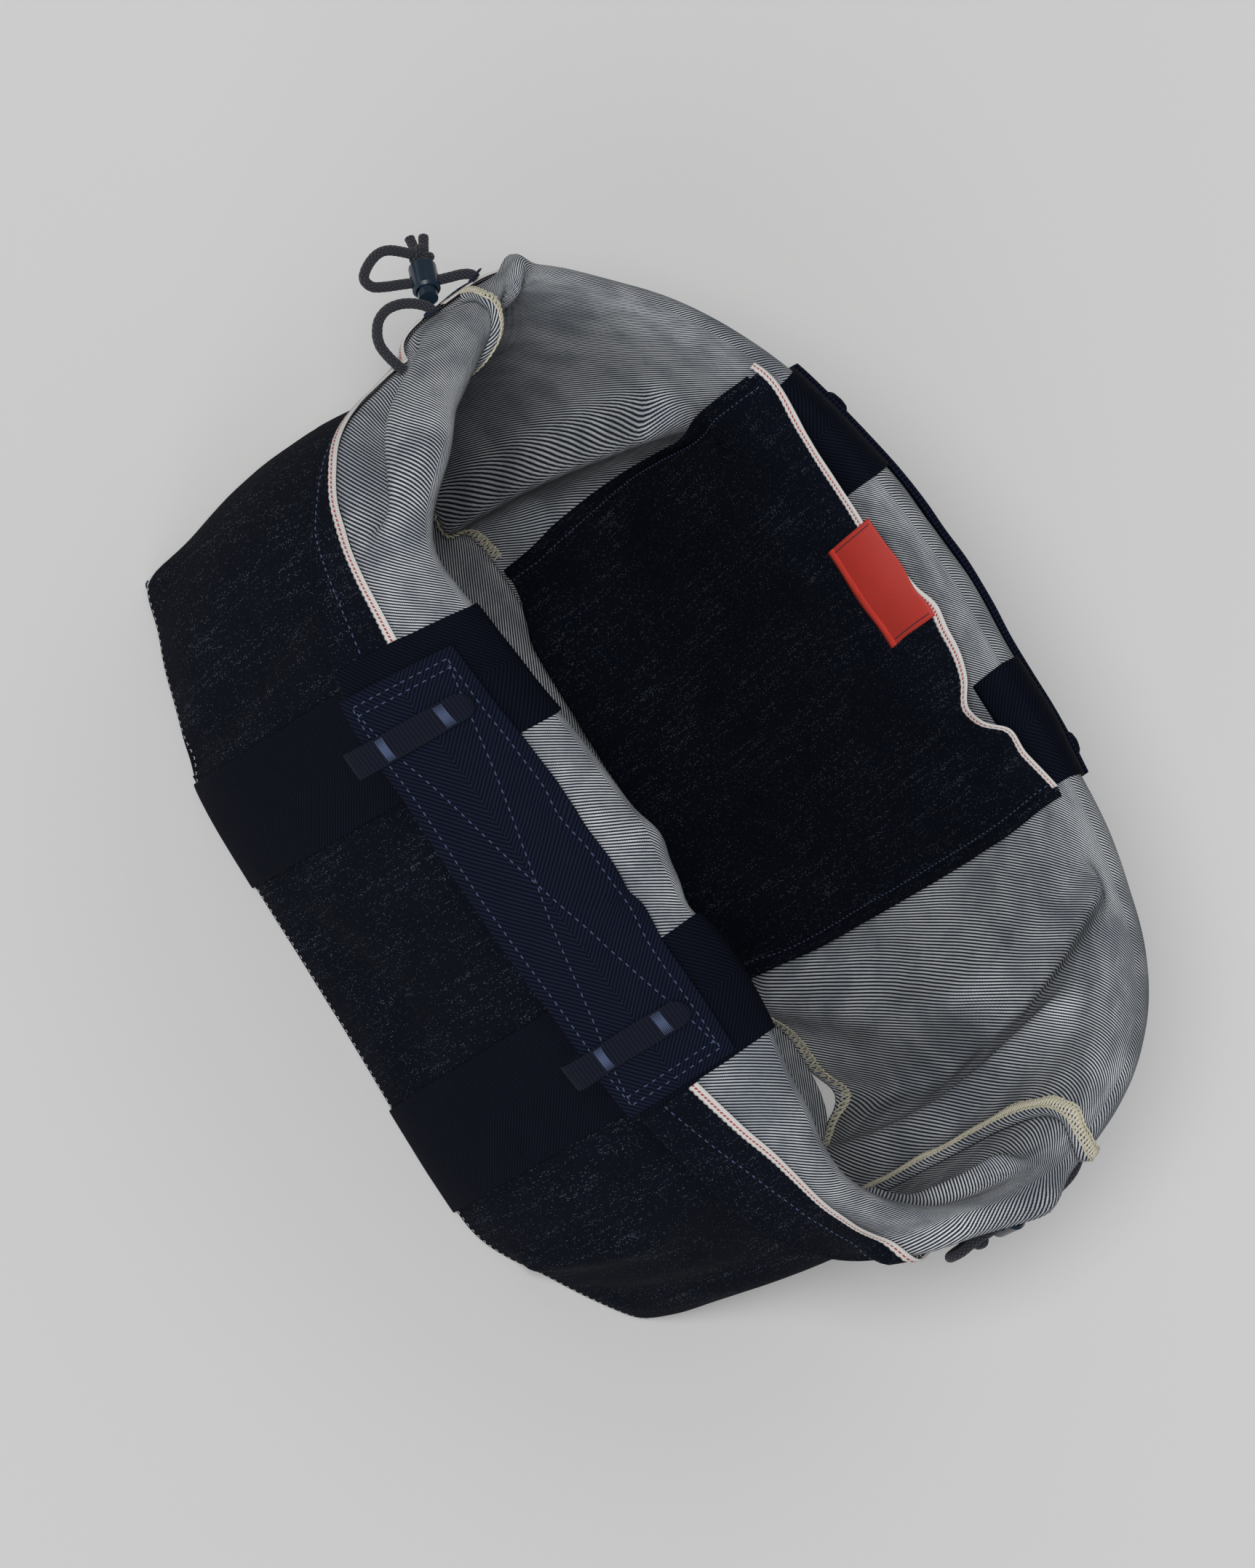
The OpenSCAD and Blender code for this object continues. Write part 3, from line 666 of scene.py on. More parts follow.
def lengths(p):
    """UVs in mm: along each axis of a grid of points, measured on the grid, centred across."""
    du = np.linalg.norm(np.diff(p, axis=0), axis=-1).mean(1)
    dv = np.linalg.norm(np.diff(p, axis=1), axis=-1).mean(0)
    u, v = np.concatenate([[0], np.cumsum(du)]), np.concatenate([[0], np.cumsum(dv)])
    return np.stack(np.meshgrid(u - u[-1] / 2, v, indexing="ij"), -1)


def tube_mesh(path, radius, sides, relief=None):
    """Points, faces and UVs of a closed tube along a path; relief(around, along) scales its radius."""
    path = np.asarray(path, float)
    step = unit(np.gradient(path, axis=0))
    side = np.zeros_like(path)
    last = np.array([0.3, 0.2, 1.0])
    for i, t in enumerate(step):
        last = last - t * (last @ t)
        last = last / np.linalg.norm(last)
        side[i] = last
    other = np.cross(step, side)
    far = distances(path)
    a = np.linspace(0, 2 * np.pi, sides, endpoint=False)
    r = np.broadcast_to(np.asarray(radius, float), (len(path),))[:, None] * np.ones(sides)
    if relief:
        r = r * relief(a[None, :], far[:, None])
    round_it = np.cos(a)[None, :, None] * side[:, None] + np.sin(a)[None, :, None] * other[:, None]
    ring = path[:, None] + r[..., None] * round_it
    pts = np.concatenate([ring.reshape(-1, 3), path[[0, -1]]])
    n = len(path)
    i, s = np.meshgrid(np.arange(n - 1), np.arange(sides), indexing="ij")
    nxt = (s + 1) % sides
    here, ahead = i * sides, (i + 1) * sides
    quads = np.stack([here + s, here + nxt, ahead + nxt, ahead + s], -1).reshape(-1, 4)
    girth = 2 * np.pi * float(np.mean(radius))
    us = np.stack([s, s + 1, s + 1, s], -1).reshape(-1, 4) / sides * girth
    vs = np.stack([far[i], far[i], far[i + 1], far[i + 1]], -1).reshape(-1, 4)
    faces, uvs = quads.tolist(), np.stack([us, vs], -1).reshape(-1, 2).tolist()
    for row, mid, v in ((0, len(pts) - 2, 0.0), (n - 1, len(pts) - 1, float(far[-1]))):
        for j in range(sides):
            edge = [row * sides + j, row * sides + (j + 1) % sides]
            faces.append([mid, *(edge if row else edge[::-1])])
            uvs += [[0.0, v]] * 3
    return pts, faces, uvs


def join(parts):
    """Several (points, faces, uvs) as one."""
    pts, faces, uvs, n = [], [], [], 0
    for p, f, u in parts:
        pts.append(p)
        faces += [[i + n for i in face] for face in f]
        uvs += list(u)
        n += len(p)
    return np.concatenate(pts), faces, uvs


def stitches(name, rows, material, slot, pitch=3.4, share=0.66, radius=0.25, sink=0.12, **riding):
    """Rows of running stitches. A row is (k, v, o) samples of the line that the stitches follow."""
    parts = []
    rng = np.random.default_rng(11)
    for k, v, o in rows:
        path, face = place(k, v, o), place(k, v, np.asarray(o) - 1.0)
        out = unit(face - path)
        far = distances(path)
        count = int(far[-1] // pitch)
        for i in range(count):
            mid = (i + 0.5) * far[-1] / count + rng.uniform(-0.12, 0.12)
            t = np.linspace(mid - pitch * share / 2, mid + pitch * share / 2, 5)
            at = at_distance(path, far, t)
            up = at_distance(out, far, t)
            lift = np.array([-1.6, 0.35, 0.75, 0.35, -1.6])[:, None] * radius - sink
            parts.append(tube_mesh(at + up * lift, radius * np.array([0.7, 1, 1, 1, 0.7]), 6))
    return make(name, *join(parts), [material], slot, **riding)


# ---------------------------------------------------------------- cords
CORD_D = 4.0
LEFT_ROUTE = [
    (-199.3, 29.7, 161.8), (-201.8, 28.6, 161.5), (-203.6, 25.8, 160), (-204.8, 22.2, 158.1),
    (-206.2, 18.5, 156), (-208.2, 14.6, 153.6), (-210.2, 10.7, 151.2), (-212, 6.8, 149.4),
    (-214, 2, 147.6), (-216.5, -2.6, 146.6), (-220.5, -4, 147), (-224, 0, 148), (-226, 6, 149),
    (-225, 12, 149), (-220.4, 19.9, 148.3)]
LEFT_RETURN_ROUTE = [
    (-195.2, 3.2, 162.7), (-197.4, 2.7, 163.1), (-199.8, 1, 162.6), (-202.5, -2, 161.2),
    (-204.5, -6, 159.5), (-205, -11, 158), (-203, -16, 157), (-199, -19.5, 156.5), (-195.5, -21, 156.5),
    (-192.4, -21.2, 156.6), (-187.5, -20.5, 157.2), (-182, -19, 158)]
RIGHT_ROUTE = [
    (192.2, 61.2, 156.8), (194.6, 61.9, 156.9), (198, 61.8, 155.8), (201.5, 60.5, 153),
    (204.5, 58, 148.5), (206.5, 54, 142.5), (206.8, 49.5, 137.5), (206, 45, 134.5), (206, 40, 133),
    (206, 34, 133), (206, 28, 133), (206, 23, 132), (206, 18, 129), (207, 14, 124), (207, 13, 118),
    (207, 16, 114), (207, 21, 112), (207, 27.6, 113.1)]
LEFT_KNOT, RIGHT_KNOT = np.array([-218, 24, 147.5]), np.array([207, 32.5, 114])


def along(route, spacing=0.4):
    """A smooth line through a route's points, evenly spaced."""
    p = np.array(route, float)
    q = np.concatenate([p[:1], p, p[-1:]])
    t = np.linspace(0, 1, 12, endpoint=False)[:, None]
    out = [spline(a, b, c, d, t) for a, b, c, d in zip(q[:-3], q[1:-2], q[2:-1], q[3:])]
    line = np.concatenate(out + [p[-1:]])
    far = distances(line)
    at = np.linspace(0, far[-1], max(8, round(far[-1] / spacing)))
    return at_distance(line, far, at)


def braided(a, s):
    """The raised crossings of a round braid."""
    return 1 + 0.045 * np.cos(4 * a + 2 * np.pi * s / 4.2) * np.cos(4 * a - 2 * np.pi * s / 4.2)


def cord_piece(name, route):
    """A free stretch of drawcord, and its centreline."""
    line = along(route)
    o = make(name, *tube_mesh(line, CORD_D / 2 * 0.97, 28, braided), [BRAID], "drawcord_braid", body="bag")
    return o, line


def knot_piece(name, centre, tails, entry):
    """An overhand knot in the cord, with two cut tails."""
    axis = unit(np.array(tails, float))
    x = unit(np.cross(axis, np.array(entry, float)))
    y = np.cross(axis, x)
    turn = np.stack([x, y, axis], 1)
    t = np.linspace(0, 2 * np.pi, 150)
    loops = [np.sin(t) + 2 * np.sin(2 * t), np.cos(t) - 2 * np.cos(2 * t), -1.25 * np.sin(3 * t)]
    wrap = np.stack(loops, -1) * 1.13
    parts = [tube_mesh(wrap @ turn.T + centre, CORD_D / 2 * 0.86, 20, braided)]
    for y0, lean_out, long in ((-1.7, -0.6, 10.6), (1.7, 0.9, 9.4)):
        line = along([(0.2, y0 * 0.4, -1), (0.5, y0, 3), (0.6, y0 * 1.15 + lean_out * 0.3, 6.5),
                      (0.3, y0 * 1.2 + lean_out, long)])
        flat = np.linspace(1, 1.12, len(line))
        parts.append(tube_mesh(line @ turn.T + centre, CORD_D / 2 * 0.88 * flat, 20, braided))
    return make(name, *join(parts), [BRAID], "drawcord_braid", body="bag")


LEFT_TAILS, RIGHT_TAILS = (-0.7405, 0.5785, -0.342), (0, 0.15, -1.0)
left_cord, left_line = cord_piece("drawcord_left", LEFT_ROUTE)
left_knot = knot_piece("knot_left", LEFT_KNOT, LEFT_TAILS, (0, 1, 0))
return_cord, return_line = cord_piece("drawcord_left_return", LEFT_RETURN_ROUTE)
right_cord, right_line = cord_piece("drawcord_right", RIGHT_ROUTE)
right_knot = knot_piece("knot_right", RIGHT_KNOT, RIGHT_TAILS, (0, 1, 0))
for piece, node in ((left_cord, "left_drawcord"), (left_knot, "left_cord_knot"),
                    (return_cord, "left_return_cord"), (right_cord, "right_drawcord"),
                    (right_knot, "right_cord_knot")):
    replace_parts(piece, node)


# ---------------------------------------------------------------- walls and collar
CLOTH_T = 1.0
HEM_O = -1.75  # the middle of the hem's turned-in layer
# Where the front and back cloth meet, up the left and the right end.
LEFT_SEAM = [(0, 18.5), (0.3, 18.6), (0.7, 18.6), (0.85, 18.35), (0.95, 18.05), (1.2, 17.95), (2, 17.85)]
RIGHT_SEAM = [(0, 6.85), (0.3, 6.8), (0.57, 6.68), (0.77, 6.5), (0.97, 6.2), (1.3, 6.15), (2, 6.3)]
# The hem's turned-in edge, as a row at each station.
HEM_EDGE = [
    (0, 1.58), (2.33, 1.60), (2.68, 1.54), (3.0, 1.48), (3.33, 1.40), (3.78, 1.31), (4.12, 1.31),
    (4.35, 1.36),
    (5.0, 1.5), (6.0, 1.57), (9.0, 1.58), (15.0, 1.58), (17.5, 1.75), (18.4, 1.93), (19.2, 1.94),
    (19.6, 1.90), (20.1, 1.83), (20.4, 1.78), (20.65, 1.70), (20.98, 1.60), (21.3, 1.555),
    (21.8, 1.56), (24, 1.58)]
FOLD_R = abs(HEM_O) / 2


def hem_edge(k):
    """The row of the hem's turned-in edge."""
    return through(HEM_EDGE, k % STATIONS)


def cloth_rows(k, hem_rows=14):
    """Rows and offsets of the cloth up the wall, over the crest, round the fold and back as a hem."""
    wall = np.concatenate([np.linspace(0, 1, 92), np.linspace(1, 2, 30)[1:]])
    turn = np.linspace(0, np.pi, 8)[1:]
    fold_v, fold_o = 2 + FOLD_R / COLLAR_MM * np.sin(turn), -FOLD_R * (1 - np.cos(turn))
    back = np.linspace(0, 1, hem_rows)[1:]
    edge = hem_edge(k)[:, None]
    hem = 2 + (edge - 2) * back[None, :]
    ones = np.ones((len(k), 1))
    v = np.concatenate([ones * wall, ones * fold_v, hem], 1)
    o = np.concatenate([ones * wall * 0, ones * fold_o, ones * HEM_O + 0 * hem], 1)
    run = np.concatenate([flat_v(wall), flat_v(2) + FOLD_R * turn])
    tail = run[-1] + COLLAR_MM * (2 - edge) * back[None, :]
    return v, o, np.concatenate([ones * run, tail], 1)


def wall_piece(name, first, last, columns, bend):
    """One of the two cloth panels, between the seams first and last."""
    s = np.linspace(0, 1, columns)
    guess = through(first, 1.0) * (1 - s) + through(last, 1.0) * s
    v, o, run = cloth_rows(guess)
    ka, kb = through(first, v), through(last, v)
    k = ka * (1 - s[:, None]) + kb * s[:, None]
    p = place(k, v, o)
    piece = slab(name, p, CLOTH_T, [DENIM_FACE, DENIM_BACK, DENIM_FACE], "denim_outside",
                 uv=np.stack([STATION_MM * k, run], -1), bend=bend)
    return piece, p


seam_before = [(v, k - STATIONS) for v, k in LEFT_SEAM]
front, front_p = wall_piece("cloth_front", seam_before, RIGHT_SEAM, 240, FRONT_BEND)
back, back_p = wall_piece("cloth_back", RIGHT_SEAM, LEFT_SEAM, 220, BACK_BEND)
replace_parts(front, "front_wall", "front_rim", "front_hem", "right_rim_end")
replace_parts(back, "back_wall", "back_rim", "back_hem", "left_rim_end")


def hem_cover(k, v):
    """How far the hem lifts what lies on it, at stations k and rows v."""
    edge = hem_edge(k)
    return abs(HEM_O) * smooth(v, edge - 0.10, edge - 0.04)


def base_piece():
    """The base cloth, with its dark side down. It follows the shifts of the wall's foot."""
    y, s = np.linspace(-1, 1, 70) * (HALF_Y + 0.2), np.linspace(-1, 1, 130)
    past = np.maximum(np.abs(y) - HALF_Y + CORNER_R, 0)
    reach = HALF_X - CORNER_R + np.sqrt(np.maximum(CORNER_R**2 - past**2, 0))
    x = s[:, None] * (reach[None, :] + 0.2)
    y = y[None, :] + 0 * x
    for k0, v0, shift, sk, _ in SHIFTS:
        if v0 < 0.2:
            foot = base_outline(np.array(k0))[0]
            far = np.hypot(x - foot[0], y - foot[1])
            near = np.exp(-(far / (sk * 38)) ** 2)
            x, y = x + near * shift[0], y + near * shift[1]
    inside = np.minimum(reach[None, :] - np.abs(x), HALF_Y - np.abs(y))
    z = 1.2 + 1.3 * smooth(inside, 1, 12) + 0.5 * lattice(x + 500, y + 500, 45, 8) * smooth(inside, 6, 30)
    p = np.stack([x, y, z], -1)
    return slab("base_cloth", p, 1.0, [DENIM_BACK, DENIM_FACE, DENIM_FACE], "denim_outside",
                uv=p[..., 1::-1], body="bag")


base = base_piece()
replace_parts(base, "base_panel")

# ---------------------------------------------------------------- selvedges
EDGE_MM = 4.2


def selvedge_strip(name, k, v_at, o_at, toward, slot="selvedge", **riding):
    """A woven self-edge along v_at(k), EDGE_MM wide; its far side is scalloped."""
    rows = np.array([0, 0.10, 0.34, 0.46, 0.60, 0.80, 1.0])
    along_mm = STATION_MM * (k - k[0])
    scallop = 1 - 0.16 * (1 - np.abs(np.sin(np.pi * along_mm / 2.3)))
    width = EDGE_MM * rows[None, :] * np.where(rows[None, :] > 0.5, scallop[:, None], 1)
    per_v = WALL_MM if name.startswith("pocket") else COLLAR_MM
    v = v_at(k)[:, None] + toward * (width - EDGE_MM / 2) / per_v
    crown = np.array([0, 0.25, 0.3, 0.05, 0.3, 0.35, 0.0])[None, :]
    p = place(k[:, None] + 0 * v, v, o_at(k)[:, None] - crown)
    uv = np.stack([along_mm[:, None] + 0 * v, width], -1)
    if toward < 0:
        p, uv = p[:, ::-1], uv[:, ::-1]
    return slab(name, p, 0.75, [SELVEDGE] * 3, slot, uv=uv, **riding), p


def run_k(first, last, pitch=0.45):
    """Stations from first to last, pitch mm apart."""
    return np.linspace(first, last, int((last - first) * STATION_MM / pitch))


def edge_row(k):
    return hem_edge(k) + 0.012


def edge_o(k):
    return np.full(np.shape(k), HEM_O - 0.35)


front_edge, _ = selvedge_strip("selvedge_front", run_k(-5.9, 6.1), edge_row, edge_o, 1, bend=FRONT_BEND)
back_edge, _ = selvedge_strip("selvedge_back", run_k(6.3, 17.8), edge_row, edge_o, 1, bend=BACK_BEND)
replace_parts(front_edge, "front_selvedge", "right_end_selvedge")
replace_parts(back_edge, "back_selvedge", "left_end_selvedge")

# ---------------------------------------------------------------- webbing bands
BAND_K, BAND_HALF, BAND_LEAN, BAND_IN = 1.92, 0.61, 0.22, 0.84
WEB_T = 1.3
BACK_MID = 12


def band_piece(name, k0, lean, bend, node, rim_node):
    """A wide band: up the outside from the base, round the outer fold, and down inside the crest."""
    s = np.concatenate([[-1, -0.985], np.linspace(-0.96, 0.96, 21), [0.985, 1]]) * BAND_HALF
    out_o = CLOTH_T / 2 + 0.12 + WEB_T / 2
    up = np.concatenate([np.linspace(0.0, 1, 60), np.linspace(1, 2, 22)[1:]])
    turn = np.linspace(0, np.pi, 9)[1:-1]
    k_mid = np.array([float(k0)])
    lift = lambda v: CLOTH_T / 2 + 0.12 + hem_cover(k_mid + 0 * v, v) + WEB_T / 2
    top = lift(np.array([2.0]))[0]
    r = (out_o + top) / 2
    turn_v, turn_o = 2 + r * 0.75 / COLLAR_MM * np.sin(turn), out_o - r * (1 - np.cos(turn))
    down = np.concatenate([np.linspace(2, 1, 30), np.linspace(1, BAND_IN, 12)[1:]])
    v = np.concatenate([up, turn_v, down])
    o = np.concatenate([out_o + 0 * up, turn_o, -lift(down)])
    k = k0 + s[:, None] + lean * np.minimum(v, 1)[None, :]
    p = place(k, v[None, :], o[None, :])
    piece = slab(name, p, WEB_T, [WEBBING] * 3, "wide_webbing", bend=bend)
    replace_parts(piece, node, rim_node)
    return piece


for side, mid, bend, hands in (("front", 0, FRONT_BEND, ("left", "right")),
                               ("back", BACK_MID, BACK_BEND, ("right", "left"))):
    for hand, way in zip(hands, (-1, 1)):
        band_piece(f"band_{side}_{hand}", mid + way * BAND_K, -way * BAND_LEAN, bend,
                   f"webbing_{side}_{hand}", f"rim_webbing_{side}_{hand}")


def under_band(name, node):
    """A band's stretch under the base."""
    (x0, y0, _), (x1, y1, _) = np.array(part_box(node)) / MM
    x, y = np.linspace(x0, x1, 24), np.linspace(y0, y1, 80)
    x, y = np.meshgrid(x, y, indexing="ij")
    z = 0.75 + 0.12 * lattice(x + 300, y + 300, 30, 9)
    p = np.stack([x, y, z], -1)
    o = slab(name, p, WEB_T * 0.8, [WEBBING] * 3, "wide_webbing", body="bag")
    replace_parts(o, node)


for hand in ("left", "right"):
    under_band(f"webbing_under_{hand}", f"webbing_base_{hand}")

# ---------------------------------------------------------------- handles and loops
HANDLE_TOP, HANDLE_T = -5.2, 1.25


def handle_piece(name, first, last, low, high, top, body, node):
    """A doubled handle: two layers of webbing, made as two separate sheets; the real handle is folded along
    the edge that is nearer the crest.
    """
    s = np.concatenate([[0, 0.002], np.linspace(0.006, 0.994, 110), [0.998, 1]])
    k = first + (last - first) * s
    bridge = np.sin(np.pi * smooth(s, 0.2, 0.8)) * 0.9
    layers = []
    for layer, o in (("top", top), ("under", top + HANDLE_T + 0.1)):
        t = np.concatenate([[0, 0.006], np.linspace(0.02, 0.98, 25), [0.994, 1]])
        v = low + (high - low) * t + 0 * k[:, None]
        crown = 0.5 * np.sin(np.pi * t)[None, :] * bridge[:, None]
        p = place(k[:, None] + 0 * v, v, o - crown - bridge[:, None] * 0.6)
        uv = lengths(p)[..., ::-1].copy()
        uv[..., 0] -= uv[..., 0].mean()
        uv[..., 0] *= -1
        piece = slab(f"{name}_{layer}", p, HANDLE_T, [HANDLE_WEBBING] * 3, "handle_webbing", uv=uv, body=body)
        layers.append(piece)
    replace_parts(layers[0], node)
    face = top - HANDLE_T / 2
    rows = []

    def put(a, b):
        """One row of stitches, by shares of the handle's length and width."""
        raised = (0.5 * np.sin(np.pi * b) + 0.6) * np.sin(np.pi * smooth(a, 0.2, 0.8)) * 0.9
        rows.append((first + (last - first) * a, low + (high - low) * b, face - raised))

    line = np.linspace(0, 1, 120)
    for a in (0.022, 0.040, 0.960, 0.978):
        put(a + 0 * line, 0.08 + 0.84 * line)
    for b in (0.09, 0.91):
        put(0.02 + 0.96 * line, b + 0.004 * np.sin(9 * line))
    put(0.03 + 0.94 * line, 0.10 + 0.80 * line)
    put(0.03 + 0.94 * line, 0.90 - 0.80 * line)
    stitches(f"{name}_stitches", rows, BLUE_THREAD, "handle_webbing", body=body)


handle_piece("handle_front", -2.05, 2.25, 1.27, 2.055, HANDLE_TOP, "front_rim_body", "front_handle")
handle_piece("handle_back", 9.7, 14.3, 1.34, 2.06, HANDLE_TOP + 0.5, "back_rim_body", "back_handle")

LOOP_HALF, LOOP_T, LOOP_FROM, LOOP_OUT = 0.122, 1.0, 1.36, 0.22
LOOP_O = HANDLE_TOP - HANDLE_T / 2 - LOOP_T / 2 - 1.15


def loop_piece(name, k0, sink, body, node):
    """A narrow tape sewn across the handle that folds round the rim and back under it."""
    across = np.concatenate([[-1, -0.94], np.linspace(-0.85, 0.85, 9), [0.94, 1]])
    under_o = CLOTH_T / 2 + WEB_T + 0.5 + LOOP_T / 2
    face_o = LOOP_O + sink
    half = (under_o - face_o) / 2
    turn = np.linspace(0, np.pi, 16)
    turn = turn[1:-1]
    v = np.concatenate([np.linspace(LOOP_FROM, 2.05, 34), 2.05 + (LOOP_OUT - 0.05) * np.sin(turn),
                        np.linspace(2.05, 1.8, 12)])
    o = np.concatenate([np.full(34, face_o), face_o + half * (1 - np.cos(turn)), np.full(12, under_o)])
    tip = np.minimum(1, np.sqrt(np.clip(1 - (1 - np.clip((v - LOOP_FROM) / 0.085, 0, 1)) ** 2, 0.02, 1)))
    tip[34:] = 1
    k = k0 + LOOP_HALF * across[:, None] * tip[None, :]
    p = place(k, v[None, :] + 0 * k, o[None, :] + 0 * k)
    piece = slab(name, p[::-1], LOOP_T, [GROSGRAIN] * 3, "grosgrain", body=body)
    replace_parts(piece, node)
    parts = []
    puff = np.array([-0.1, 0.22, 0.3, 0.22, -0.1])
    for v0 in (LOOP_FROM + 0.17, 1.93):
        for i in range(11):
            kk = k0 + LOOP_HALF * 0.82 * np.linspace(-1, 1, 2)
            vv = v0 + (i / 10 - 0.5) * 0.05 + np.array([0.003, -0.003]) * (-1) ** i
            at = place(np.linspace(*kk, 5), np.linspace(*vv, 5), face_o - LOOP_T / 2 - puff)
            parts.append(tube_mesh(at, 0.2, 6))
    make(f"{name}_tacks", *join(parts), [BLUE_THREAD], "handle_webbing", body=body)


for place_name, k0, sink in (("front_left", -1.55, 0.0), ("front_right", 1.7, 0.0), ("back_right", 10.0, 0.5),
                             ("back_left", 13.8, 0.5)):
    side, hand = place_name.split("_")
    loop_piece(f"loop_{place_name}", k0, sink, f"{side}_rim_body", f"{side}_loop_{hand}")

# ---------------------------------------------------------------- pocket and label
POCKET_FROM, POCKET_TO, POCKET_FOOT, POCKET_BOW = 9.62, 14.7, 0.03, 11.0
POCKET_O = -3.6
POCKET_TOP = [
    (9.55, 0.925), (10.05, 0.885), (10.35, 0.87), (10.5, 0.835), (10.7, 0.84), (10.95, 0.875), (11.25, 0.895),
    (11.65, 0.90), (12.75, 0.87), (13.1, 0.88), (13.6, 0.89), (14.05, 0.92), (14.4, 0.95), (14.75, 0.955)]
# The pocket's side edges, as stations by row.
POCKET_LEFT = [(0.0, 14.78), (0.15, 14.8), (0.42, 14.8), (0.65, 14.7), (0.94, 14.55), (1.0, 14.5)]
POCKET_RIGHT = [(0.0, 9.8), (0.16, 9.75), (0.3, 9.7), (0.51, 9.6), (0.7, 9.55), (0.91, 9.6), (1.0, 9.6)]


def pocket_o(k, v):
    """The pocket's offset: it bows away from the back wall and has soft dents of its own."""
    u, w = STATION_MM * k, flat_v(v)
    share = np.clip((k - POCKET_FROM) / (POCKET_TO - POCKET_FROM), 0, 1)
    rise = np.clip((v - POCKET_FOOT) / (0.9 - POCKET_FOOT), 0, 1.1)
    bow = POCKET_BOW * np.sin(np.pi * share) * np.sin(np.pi / 2 * rise)
    dents = 1.0 * lattice(u, w, 40, 21) + 0.5 * lattice(u, w, 17, 22)
    wave = 3.5 * np.exp(-((k - 10.75) / 0.16) ** 2) - 3.5 * np.exp(-((k - 10.35) / 0.16) ** 2)
    edge = smooth(share, 0, 0.08) * smooth(1 - share, 0, 0.08)
    bow = bow + 12 * np.exp(-(v / 0.14) ** 2) * smooth(share, 0.0, 0.16) * smooth(1 - share, 0.0, 0.16)
    return POCKET_O - bow - (dents + wave * smooth(v, 0.55, 0.85)) * edge


def pocket_grid(columns, rows):
    """The pocket's stations and rows, from its foot to its top edge."""
    s = np.linspace(0, 1, columns)[:, None]
    t = np.linspace(0, 1, rows)[None, :]
    top = through(POCKET_TOP, POCKET_FROM + (POCKET_TO - POCKET_FROM) * s)
    v = POCKET_FOOT + (top - POCKET_FOOT) * t
    k = through(POCKET_RIGHT, v) * (1 - s) + through(POCKET_LEFT, v) * s
    return k, v


pk, pv = pocket_grid(150, 130)
pocket_p = place(pk, pv, pocket_o(pk, pv))
pocket = slab("pocket", pocket_p, 0.9, [DENIM_BACK, DENIM_FACE, DENIM_FACE], "denim_outside",
              uv=np.stack([STATION_MM * pk, flat_v(pv)], -1), body="bag")
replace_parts(pocket, "pocket_panel")


def pocket_row(k):
    return through(POCKET_TOP, k) + 0.006


def pocket_edge_o(k):
    return pocket_o(k, through(POCKET_TOP, k)) - 0.1


pocket_edge, _ = selvedge_strip("pocket_selvedge_strip", run_k(9.66, 14.62), pocket_row, pocket_edge_o, -1,
                                body="bag")
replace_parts(pocket_edge, "pocket_selvedge")


def seam_roll(name, edge, sign):
    """The turned side seam of the pocket: a soft raised roll with small stitches beside it."""
    v = np.linspace(POCKET_FOOT, 0.93, 110)
    k = through(edge, v)
    a = np.linspace(0, np.pi, 8)
    kk = k[:, None] + sign * (0.02 - 0.055 * np.cos(a) * sign)[None, :]
    oo = pocket_o(k, v)[:, None] - 0.3 - 0.9 * np.sin(a)[None, :]
    p = place(kk, v[:, None] + 0 * kk, oo)
    slab(name, p.transpose(1, 0, 2), 0.5, [DENIM_FACE] * 3, "denim_outside", body="bag")
    inset = k + sign * 0.11
    return inset, v, pocket_o(inset, v) - 0.45


rows = [seam_roll("pocket_side_right", POCKET_RIGHT, 1), seam_roll("pocket_side_left", POCKET_LEFT, -1)]
stitches("pocket_stitches", rows, BLUE_THREAD, "denim_outside", pitch=2.8, radius=0.22, body="bag")


LABEL_FROM, LABEL_TO, LABEL_FOOT, LABEL_SLANT, LABEL_TOP = 11.65, 12.82, 0.765, 0.012, 0.905


def label_grid(k, v, lift):
    """Points lift mm in front of the pocket."""
    return place(k, v, pocket_o(k, np.minimum(v, 0.9)) - 0.45 - lift)


def label_piece():
    """The folded red label, the satin stitches on its foot and a dark line near each short end."""
    k0, k1 = LABEL_FROM, LABEL_TO
    s, t = np.linspace(0, 1, 60)[:, None], np.linspace(0, 1, 34)[None, :]
    k = k0 + (k1 - k0) * s + 0 * t
    low_v = LABEL_FOOT + LABEL_SLANT * s
    v = low_v + (LABEL_TOP - low_v) * t
    p = label_grid(k, v, 0.9 + 0.25 * np.sin(np.pi * s))
    uv = np.stack([(k - k0) * STATION_MM, (v - low_v) * WALL_MM], -1)
    o = slab("label_patch", p[::-1], 0.5, [LABEL_RED] * 3, "label_weave", uv=uv[::-1], body="bag")
    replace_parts(o, "label")
    parts, n = [], 96
    for i in range(n):
        x = k0 + (k1 - k0) * (i + 0.5) / n
        base_v = LABEL_FOOT + LABEL_SLANT * (i + 0.5) / n
        vv = base_v + np.array([-0.004, -0.005, 0.004, 0.010, 0.013])
        lift = np.array([0.5, 1.1, 1.45, 1.4, 1.05])
        parts.append(tube_mesh(label_grid(np.full(5, x), vv, lift), 0.27, 6))
    o = make("label_overcast", *join(parts), [LABEL_EDGE], "label_thread", body="bag")
    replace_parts(o, "label_stitching")
    lines = []
    for x in (k0 + 0.05, k1 - 0.05):
        vv = np.linspace(0.785, 0.898, 20)
        lines.append(tube_mesh(label_grid(np.full(20, x), vv, 1.2), 0.22, 6))
    make("label_lines", *join(lines), [LABEL_DARK], "label_weave", body="bag")


label_piece()

# ---------------------------------------------------------------- end seams in cream overlock
SEAM_FOOT, SEAM_HEAD = 0.05, 1.52


